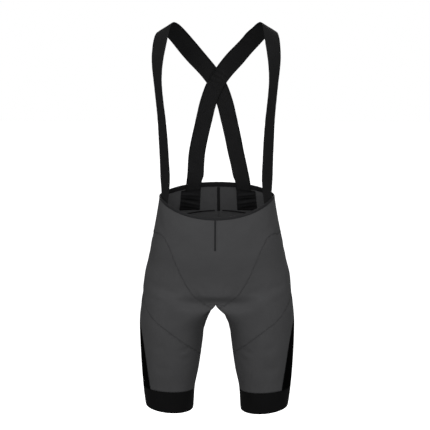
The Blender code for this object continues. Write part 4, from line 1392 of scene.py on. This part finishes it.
def strap_patches():
    """Gathered elastic inside the yoke below the foot of each brace."""
    down = np.linspace(0, 1, PATCH_ROWS + 1)[:, None]
    across = np.linspace(0, 1, PATCH_COLUMNS_ACROSS + 1)[None]
    around = PATCH_OUTER + 0.004 + (PATCH_INNER - PATCH_OUTER - 0.008) * across + 0 * down
    foot = PATCH_OUTER_FOOT + (PATCH_INNER_FOOT - PATCH_OUTER_FOOT) * across
    drop = PATCH_RISE + (foot - PATCH_RISE - 0.8) * down
    for side, sign in (("left", 1.0), ("right", -1.0)):
        points, normal = path_on_form(around, drop)
        height = run_along(points, 0)[-1][None]
        move = PATCH_LIFT + swell_depth(points * (sign, 1, 1))
        move = move + crease_depth(points * (sign, 1, 1), normal * (sign, 1, 1))
        painted_valley_shade = 0 * move
        for fold in rows_of(FOLD_COLUMNS, PATCH_FOLDS[sign]):
            at = fold["outer_end"] + (fold["inner_end"] - fold["outer_end"]) * across
            off = (down - at) * height
            taper = np.sin(math.pi * np.clip(across, 0.03, 0.97)) ** 0.4
            ridge = np.exp(-(off / fold["width"]) ** 2) * taper
            if fold["depth"] > 0:
                move = move - fold["depth"] * ridge
            else:
                move = move + FOLD_DIP * fold["depth"] * ridge
                painted_valley_shade = np.maximum(painted_valley_shade, ridge)
        points = points + normal * move[..., None]
        if sign < 0:
            points, painted_valley_shade = mirrored(points), painted_valley_shade[:, ::-1]
        width = run_along(points, 1)
        length = run_along(points, 0)
        # Mask of painted shade: the colour darkens in the fold valleys and along the patch's top and bottom ends.
        edge = np.maximum(np.exp(-(np.minimum(length, length[-1:] - length) / 2.0) ** 2), painted_valley_shade)
        uv = np.stack([length, width], axis=-1) * MM
        piece = cloth_shell("patch_" + side, points, uv, PATCH_WALL, PATCH_ELASTIC, False, [("seam", edge)])
        declare(piece, "strap_anchor_" + side)


# ---------------------------------------------------------------------------------------------------------
# Stitches, by Geometry Nodes: a short arched thread at every step of a seam.

THREAD_RADIUS = 0.17
STITCH_PITCH = 2.6
THREAD_SIDES, THREAD_BENDS = 4, 3
THREAD_UNEVEN = (0.9, 1.06)


def thread_tree(material):
    """Geometry Nodes: an arched thread at every pitch of the seam lines, standing out along their normals."""
    tree = bpy.data.node_groups.new("sewn_thread_" + material.name, "GeometryNodeTree")
    interface = tree.interface
    interface.new_socket("Geometry", in_out="INPUT", socket_type="NodeSocketGeometry")
    sizes = {}
    for name in ("Pitch", "Length", "Rise", "Radius", "Slant"):
        sizes[name] = interface.new_socket(name, in_out="INPUT", socket_type="NodeSocketFloat").identifier
    interface.new_socket("Geometry", in_out="OUTPUT", socket_type="NodeSocketGeometry")
    given = add(tree, "NodeGroupInput").outputs

    half = figure(tree, "MULTIPLY", given["Length"], 0.5)
    minus = figure(tree, "MULTIPLY", half, -1.0)
    sunk = figure(tree, "MULTIPLY", given["Rise"], -1.0)
    high = figure(tree, "MULTIPLY", given["Rise"], 2.0)
    start = add(tree, "ShaderNodeCombineXYZ", {"X": minus, "Z": sunk}).outputs[0]
    middle = add(tree, "ShaderNodeCombineXYZ", {"Z": high}).outputs[0]
    end = add(tree, "ShaderNodeCombineXYZ", {"X": half, "Z": sunk}).outputs[0]
    arch = add(tree, "GeometryNodeCurveQuadraticBezier", {
        "Resolution": THREAD_BENDS, "Start": start, "Middle": middle, "End": end}).outputs[0]
    section = add(tree, "GeometryNodeCurvePrimitiveCircle", {
        "Resolution": THREAD_SIDES, "Radius": given["Radius"]}).outputs[0]
    thread = add(tree, "GeometryNodeCurveToMesh", {
        "Curve": arch, "Profile Curve": section, "Fill Caps": True}).outputs[0]
    slanted = add(tree, "ShaderNodeCombineXYZ", {"Z": given["Slant"]}).outputs[0]
    thread = add(tree, "GeometryNodeTransform", {"Geometry": thread, "Rotation": slanted}).outputs[0]

    line = add(tree, "GeometryNodeMeshToCurve", {"Mesh": given["Geometry"]}).outputs[0]
    steps = add(tree, "GeometryNodeResampleCurve", {"Curve": line, "Length": given["Pitch"]}, mode="LENGTH")
    out = add(tree, "GeometryNodeInputNamedAttribute", {"Name": "out"}, data_type="FLOAT_VECTOR").outputs[0]
    way = add(tree, "GeometryNodeInputTangent").outputs[0]
    turn = add(tree, "FunctionNodeAxesToRotation", {"Primary Axis": out, "Secondary Axis": way},
               primary_axis="Z", secondary_axis="X").outputs[0]
    size = add(tree, "FunctionNodeRandomValue", {
        "Min": THREAD_UNEVEN[0], "Max": THREAD_UNEVEN[1], "Seed": 7}, data_type="FLOAT")
    placed_threads = add(tree, "GeometryNodeInstanceOnPoints", {
        "Points": steps.outputs[0], "Instance": thread, "Rotation": turn})
    uneven = [output for output in size.outputs if output.enabled][0]
    tree.links.new(uneven, placed_threads.inputs["Scale"])
    real = add(tree, "GeometryNodeRealizeInstances", {"Geometry": placed_threads.outputs[0]}).outputs[0]
    dyed = add(tree, "GeometryNodeSetMaterial", {"Geometry": real, "Material": material}).outputs[0]
    smooth = add(tree, "GeometryNodeSetShadeSmooth", {"Geometry": dyed}).outputs[0]
    add(tree, "NodeGroupOutput", {"Geometry": smooth})
    return tree, sizes


def sewn(lines, tree_and_sizes, pitch, length, rise, slant):
    """The thread mesh of some seam lines, each (points, outward normals) in millimetres."""
    tree, names = tree_and_sizes
    points = np.concatenate([line for line, _ in lines]) * MM
    normals = np.concatenate([out for _, out in lines])
    edges, start = [], 0
    for line, _ in lines:
        edges += [(start + k, start + k + 1) for k in range(len(line) - 1)]
        start += len(line)
    data = bpy.data.meshes.new("seam_lines")
    data.from_pydata(points.tolist(), edges, [])
    facing = data.attributes.new("out", "FLOAT_VECTOR", "POINT")
    facing.data.foreach_set("vector", normals.astype(np.float32).ravel())
    path = bpy.data.objects.new("seam_lines", data)
    bpy.context.scene.collection.objects.link(path)
    modifier = path.modifiers.new("sewn threads", "NODES")
    modifier.node_group = tree
    for name, value in (("Pitch", pitch), ("Length", length), ("Rise", rise), ("Radius", THREAD_RADIUS)):
        modifier[names[name]] = value * MM
    modifier[names["Slant"]] = slant
    graph = bpy.context.evaluated_depsgraph_get()
    mesh = bpy.data.meshes.new_from_object(path.evaluated_get(graph))
    path.modifiers.remove(modifier)
    bpy.data.objects.remove(path)
    return mesh


def offset_line(points, out, aside, rise):
    """A line beside a seam line, on the worn cloth."""
    across = np.cross(out, along_path(points))
    return worn(points + across * aside, out, rise), out


def seam_points(places, side, gap_first=0, gap_last=0):
    """A seam's points and normals on one side, leaving out a few steps at its ends."""
    places = places[gap_first:len(places) - gap_last]
    around = places[:, 0] % LEG_TURN
    points, out = path_on_form(around, places[:, 1], side)
    return points, out


FLATLOCK_HALF = 1.75
FLATLOCK_RISE = 0.05


def thread_piece(name, meshes, sheet):
    """One piece of all the threads in some meshes."""
    objects = []
    for number, mesh in enumerate(meshes):
        part = bpy.data.objects.new("%s_%d" % (name, number), mesh)
        bpy.context.scene.collection.objects.link(part)
        objects.append(part)
    if len(objects) > 1:
        with bpy.context.temp_override(active_object=objects[0], selected_editable_objects=objects,
                                       selected_objects=objects):
            bpy.ops.object.join()
    piece = objects[0]
    piece.name = name
    piece.data.name = name
    sewn_on(piece, sheet)
    return piece


def flatlock(name, seam_lines, tree, sheet, half=FLATLOCK_HALF, rise=FLATLOCK_RISE):
    """A flatlock seam: two rows of needle stitches and the slanted threads that cross between them."""
    rows = [offset_line(points, out, aside, rise) for points, out in seam_lines for aside in (-half, half)]
    bars = [offset_line(points, out, 0.0, rise - 0.05) for points, out in seam_lines]
    width = math.hypot(2 * half, STITCH_PITCH / 2)
    meshes = [
        sewn(rows, tree, STITCH_PITCH, STITCH_PITCH * 0.86, 0.16, 0.0),
        sewn(bars, tree, STITCH_PITCH, width, 0.14, math.atan2(2 * half, STITCH_PITCH / 2)),
    ]
    return thread_piece(name, meshes, sheet)


def shorts_stitches():
    """Every sewn seam of the shorts."""
    grey = thread_tree(GREY_THREAD)
    black = thread_tree(BLACK_THREAD)
    charcoal = thread_tree(CHARCOAL_THREAD)
    for side_name, side in (("left", 1.0), ("right", -1.0)):
        front = [seam_points(SEAMS["front"], side, 1, 0), seam_points(SEAMS["basque"], side, 1, 0)]
        back = [seam_points(SEAMS["back"], side, 0, 1), seam_points(joined(SEAMS["yoke_side"], SEAMS["yoke_back"]),
                                                                   side, 1, 1)]
        hip, leg = "hip_panel_%s_knit" % side_name, "leg_panel_%s_knit" % side_name
        flatlock("front_seam_threads_" + side_name, front, grey, "front_panel_knit")
        flatlock("back_seam_threads_" + side_name, back, grey, "seat_panel_%s_knit" % side_name)
        flatlock("thigh_seam_threads_" + side_name, [seam_points(SEAMS["thigh"], side, 1, 1)], grey, leg)
        flatlock("gusset_seam_threads_" + side_name, [seam_points(SEAMS["gusset"], side, 1, 1)], grey,
                 hip)
        insert = [seam_points(SEAMS["insert_front"], side, 1, 1), seam_points(SEAMS["insert_back"], side, 1, 1),
                  seam_points(straight(INSERT_TOP_FRONT, INSERT_TOP_BACK, 12), side)]
        flatlock("insert_seam_threads_" + side_name, insert, black, "side_insert_%s_knit" % side_name)
        band = joined(SEAMS["insert_bottom"], SEAMS["leg_bottom"])
        flatlock("band_seam_threads_" + side_name, [seam_points(band, side)], black,
                 "hem_band_%s_knit" % side_name)
    centre_drops = np.linspace(BACK_BINDING + 1.5, CROTCH_DROP - 3, 60)
    flatlock("centre_back_threads", [path_on_form(1.0, centre_drops)], grey, "seat_panel_left_knit")
    seat_drops = np.linspace(YOKE_BACK_SEAM[-1][1] + 1.5, CROTCH_DROP - 30, 50)
    points, out = path_on_form(1.0, seat_drops)
    rows = [offset_line(points, out, aside, -KNIT_WALL - 0.1) for aside in (-1.6, 0.0, 1.6)]
    rows = [(line, -facing) for line, facing in rows]
    thread_piece("centre_back_inside_threads", [sewn(rows, black, 2.6, 2.1, 0.4, 0.3)],
                 "seat_panel_left_knit")
    side_drops = np.linspace(BACK_BINDING + 1.5, SIDE_DROP - 2, 26)
    flatlock("side_seam_threads", [path_on_form(SIDE, side_drops, side) for side in (1.0, -1.0)], grey,
             "front_panel_knit")
    front_at = np.linspace(-SIDE + 0.004, SIDE - 0.004, 120)
    back_at = np.linspace(SIDE + 0.004, 1.0, 60)
    low_front = path_on_form(front_at, FRONT_BINDING - 1.1)
    rows = [offset_line(*low_front, 0.0, BINDING_OUT + BINDING_HALF_WALL - KNIT_WALL / 2 - 0.12)]
    thread_piece("front_binding_threads", [sewn(rows, charcoal, 2.6, 2.0, 0.16, 0.0)],
                 "front_panel_knit")
    rows = [offset_line(*path_on_form(back_at, BACK_BINDING - 1.4, side), 0.0,
                        BINDING_OUT + BINDING_HALF_WALL - KNIT_WALL / 2 - 0.12) for side in (1.0, -1.0)]
    thread_piece("back_binding_threads", [sewn(rows, black, 2.6, 2.0, 0.16, 0.0)],
                 "back_yoke_left_knit")
    tape_drops = np.linspace(FRONT_BINDING + 2, front_tape_foot() - 1, 40)
    tape = path_on_form(0.0, tape_drops)
    rows = [offset_line(*tape, aside, 0.03) for aside in (-5.2, 5.2)]
    thread_piece("front_tape_threads", [sewn(rows, grey, 2.4, 2.0, 0.2, 0.0)], "front_panel_knit")


# ---------------------------------------------------------------------------------------------------------
# The whole garment.

def band_shape(points, places, ring):
    """The hem band: a soft step where it is sewn on, and a rounded lower edge."""
    normal = grid_normals(points, ring)
    share = (places[..., 1] - BAND_TOP) / (HEM_DROP - BAND_TOP)
    swell = 0.30 * np.sin(math.pi * np.clip(share, 0, 1)) - 0.5 * np.clip(share - 0.93, 0, 1) / 0.07
    return points + normal * swell[..., None]


def garment():
    whole_panel("front", "front_panel_knit", "front_panel", GREY_KNIT, KNIT_STRETCH)
    whole_panel("gusset", "gusset_knit", "crotch_gusset", GREY_KNIT, KNIT_STRETCH)
    for side_name, side in (("left", 1.0), ("right", -1.0)):
        for key, label, material, slot, stretch, wall, held_by in (
            ("yoke", "back_yoke", GREY_KNIT, "grey_knit", KNIT_STRETCH, KNIT_WALL, "waist_fold_back"),
            ("seat", "seat_panel", GREY_KNIT, "grey_knit", KNIT_STRETCH, KNIT_WALL, "back_yoke_%s_knit"),
            ("hip", "hip_panel", GREY_KNIT, "grey_knit", KNIT_STRETCH, KNIT_WALL, "back_yoke_%s_knit"),
            ("leg", "leg_panel", GREY_KNIT, "grey_knit", KNIT_STRETCH, KNIT_WALL, "hip_panel_%s_knit"),
            ("insert", "side_insert", BLACK_KNIT, "black_knit", KNIT_STRETCH, KNIT_WALL, "hip_panel_%s_knit"),
            ("band", "hem_band", HEM_ELASTIC, "black_elastic", BAND_STRETCH, ELASTIC_WALL, "leg_panel_%s_knit"),
        ):
            held_by = held_by % side_name if "%s" in held_by else held_by
            side_panel(key, "%s_%s_knit" % (label, side_name), "%s_%s" % (label, side_name), side, material,
                       stretch, wall, band_shape if key == "band" else None)
    waist_bindings()
    front_tape()
    inside_tapes()
    braces()
    strap_patches()
    shorts_stitches()


garment()


# ---------------------------------------------------------------------------------------------------------
# Stage: camera, floor and light.

TARGET = (-4.8 * MM, 0.0, -456.4 * MM)
DISTANCE, AZIMUTH, ELEVATION = 3.2, math.radians(2.5), math.radians(6.0)
LENS, SENSOR = 112.3, 36.0
FLOOR_BELOW = 0.75
FLOOR_GLOW = 0.9
SURROUND_LIGHT = 0.36
LAMPS = (
    ("front left lamp", (-1.25, -2.5, 0.55), 1.5, 30.0),
    ("front right lamp", (1.35, -2.5, 0.45), 1.5, 27.5),
    ("high lamp", (0.1, -1.2, 2.2), 1.6, 25.0),
    ("back lamp", (0.3, 2.8, 0.8), 2.2, 40.0),
)


def aim(thing, place, target):
    """Puts a camera or a light at a place, looking at a target."""
    thing.location = place
    thing.rotation_euler = (Vector(target) - Vector(place)).to_track_quat("-Z", "Y").to_euler()


def camera():
    """The view: from in front, a little above and to the wearer's left."""
    data = bpy.data.cameras.new("front view")
    data.lens, data.sensor_width = LENS, SENSOR
    made = bpy.data.objects.new("front view", data)
    bpy.context.scene.collection.objects.link(made)
    flat = DISTANCE * math.cos(ELEVATION)
    place = (TARGET[0] + flat * math.sin(AZIMUTH), TARGET[1] - flat * math.cos(AZIMUTH),
             TARGET[2] + DISTANCE * math.sin(ELEVATION))
    aim(made, place, TARGET)
    bpy.context.scene.camera = made


def soft_light(name, place, size, power):
    """A large soft lamp that looks at the shorts."""
    data = bpy.data.lights.new(name, "AREA")
    data.shape, data.size, data.energy = "DISK", size, power
    made = bpy.data.objects.new(name, data)
    bpy.context.scene.collection.objects.link(made)
    aim(made, place, TARGET)


def studio():
    """A plain white floor and surroundings, and broad soft lamps in front."""
    low = cad_box[0][2] - FLOOR_BELOW
    data = bpy.data.meshes.new("studio floor")
    reach = 40.0
    data.from_pydata([(-reach, -reach, low), (reach, -reach, low), (reach, reach, low), (-reach, reach, low)], [],
                     [(0, 1, 2, 3)])
    paper = bpy.data.materials.new("white_floor_paper")
    paper.use_nodes = True
    shader = paper.node_tree.nodes["Principled BSDF"]
    shader.inputs["Base Color"].default_value = linear("#fafafa")
    shader.inputs["Roughness"].default_value = 0.9
    shader.inputs["Emission Color"].default_value = (1, 1, 1, 1)
    shader.inputs["Emission Strength"].default_value = FLOOR_GLOW
    data.materials.append(paper)
    floor = bpy.data.objects.new("studio floor", data)
    floor.visible_diffuse = floor.visible_glossy = False
    bpy.context.scene.collection.objects.link(floor)
    world = bpy.data.worlds.new("white surroundings")
    world.use_nodes = True
    seen = add(world.node_tree, "ShaderNodeLightPath").outputs["Is Camera Ray"]
    strength = figure(world.node_tree, "MULTIPLY_ADD", seen, 1.0 - SURROUND_LIGHT, SURROUND_LIGHT)
    surroundings = world.node_tree.nodes["Background"]
    surroundings.inputs["Color"].default_value = (1, 1, 1, 1)
    world.node_tree.links.new(strength, surroundings.inputs["Strength"])
    bpy.context.scene.world = world
    for name, place, size, power in LAMPS:
        soft_light(name, place, size, power)
    bpy.context.scene.view_settings.view_transform = "Standard"


camera()
studio()
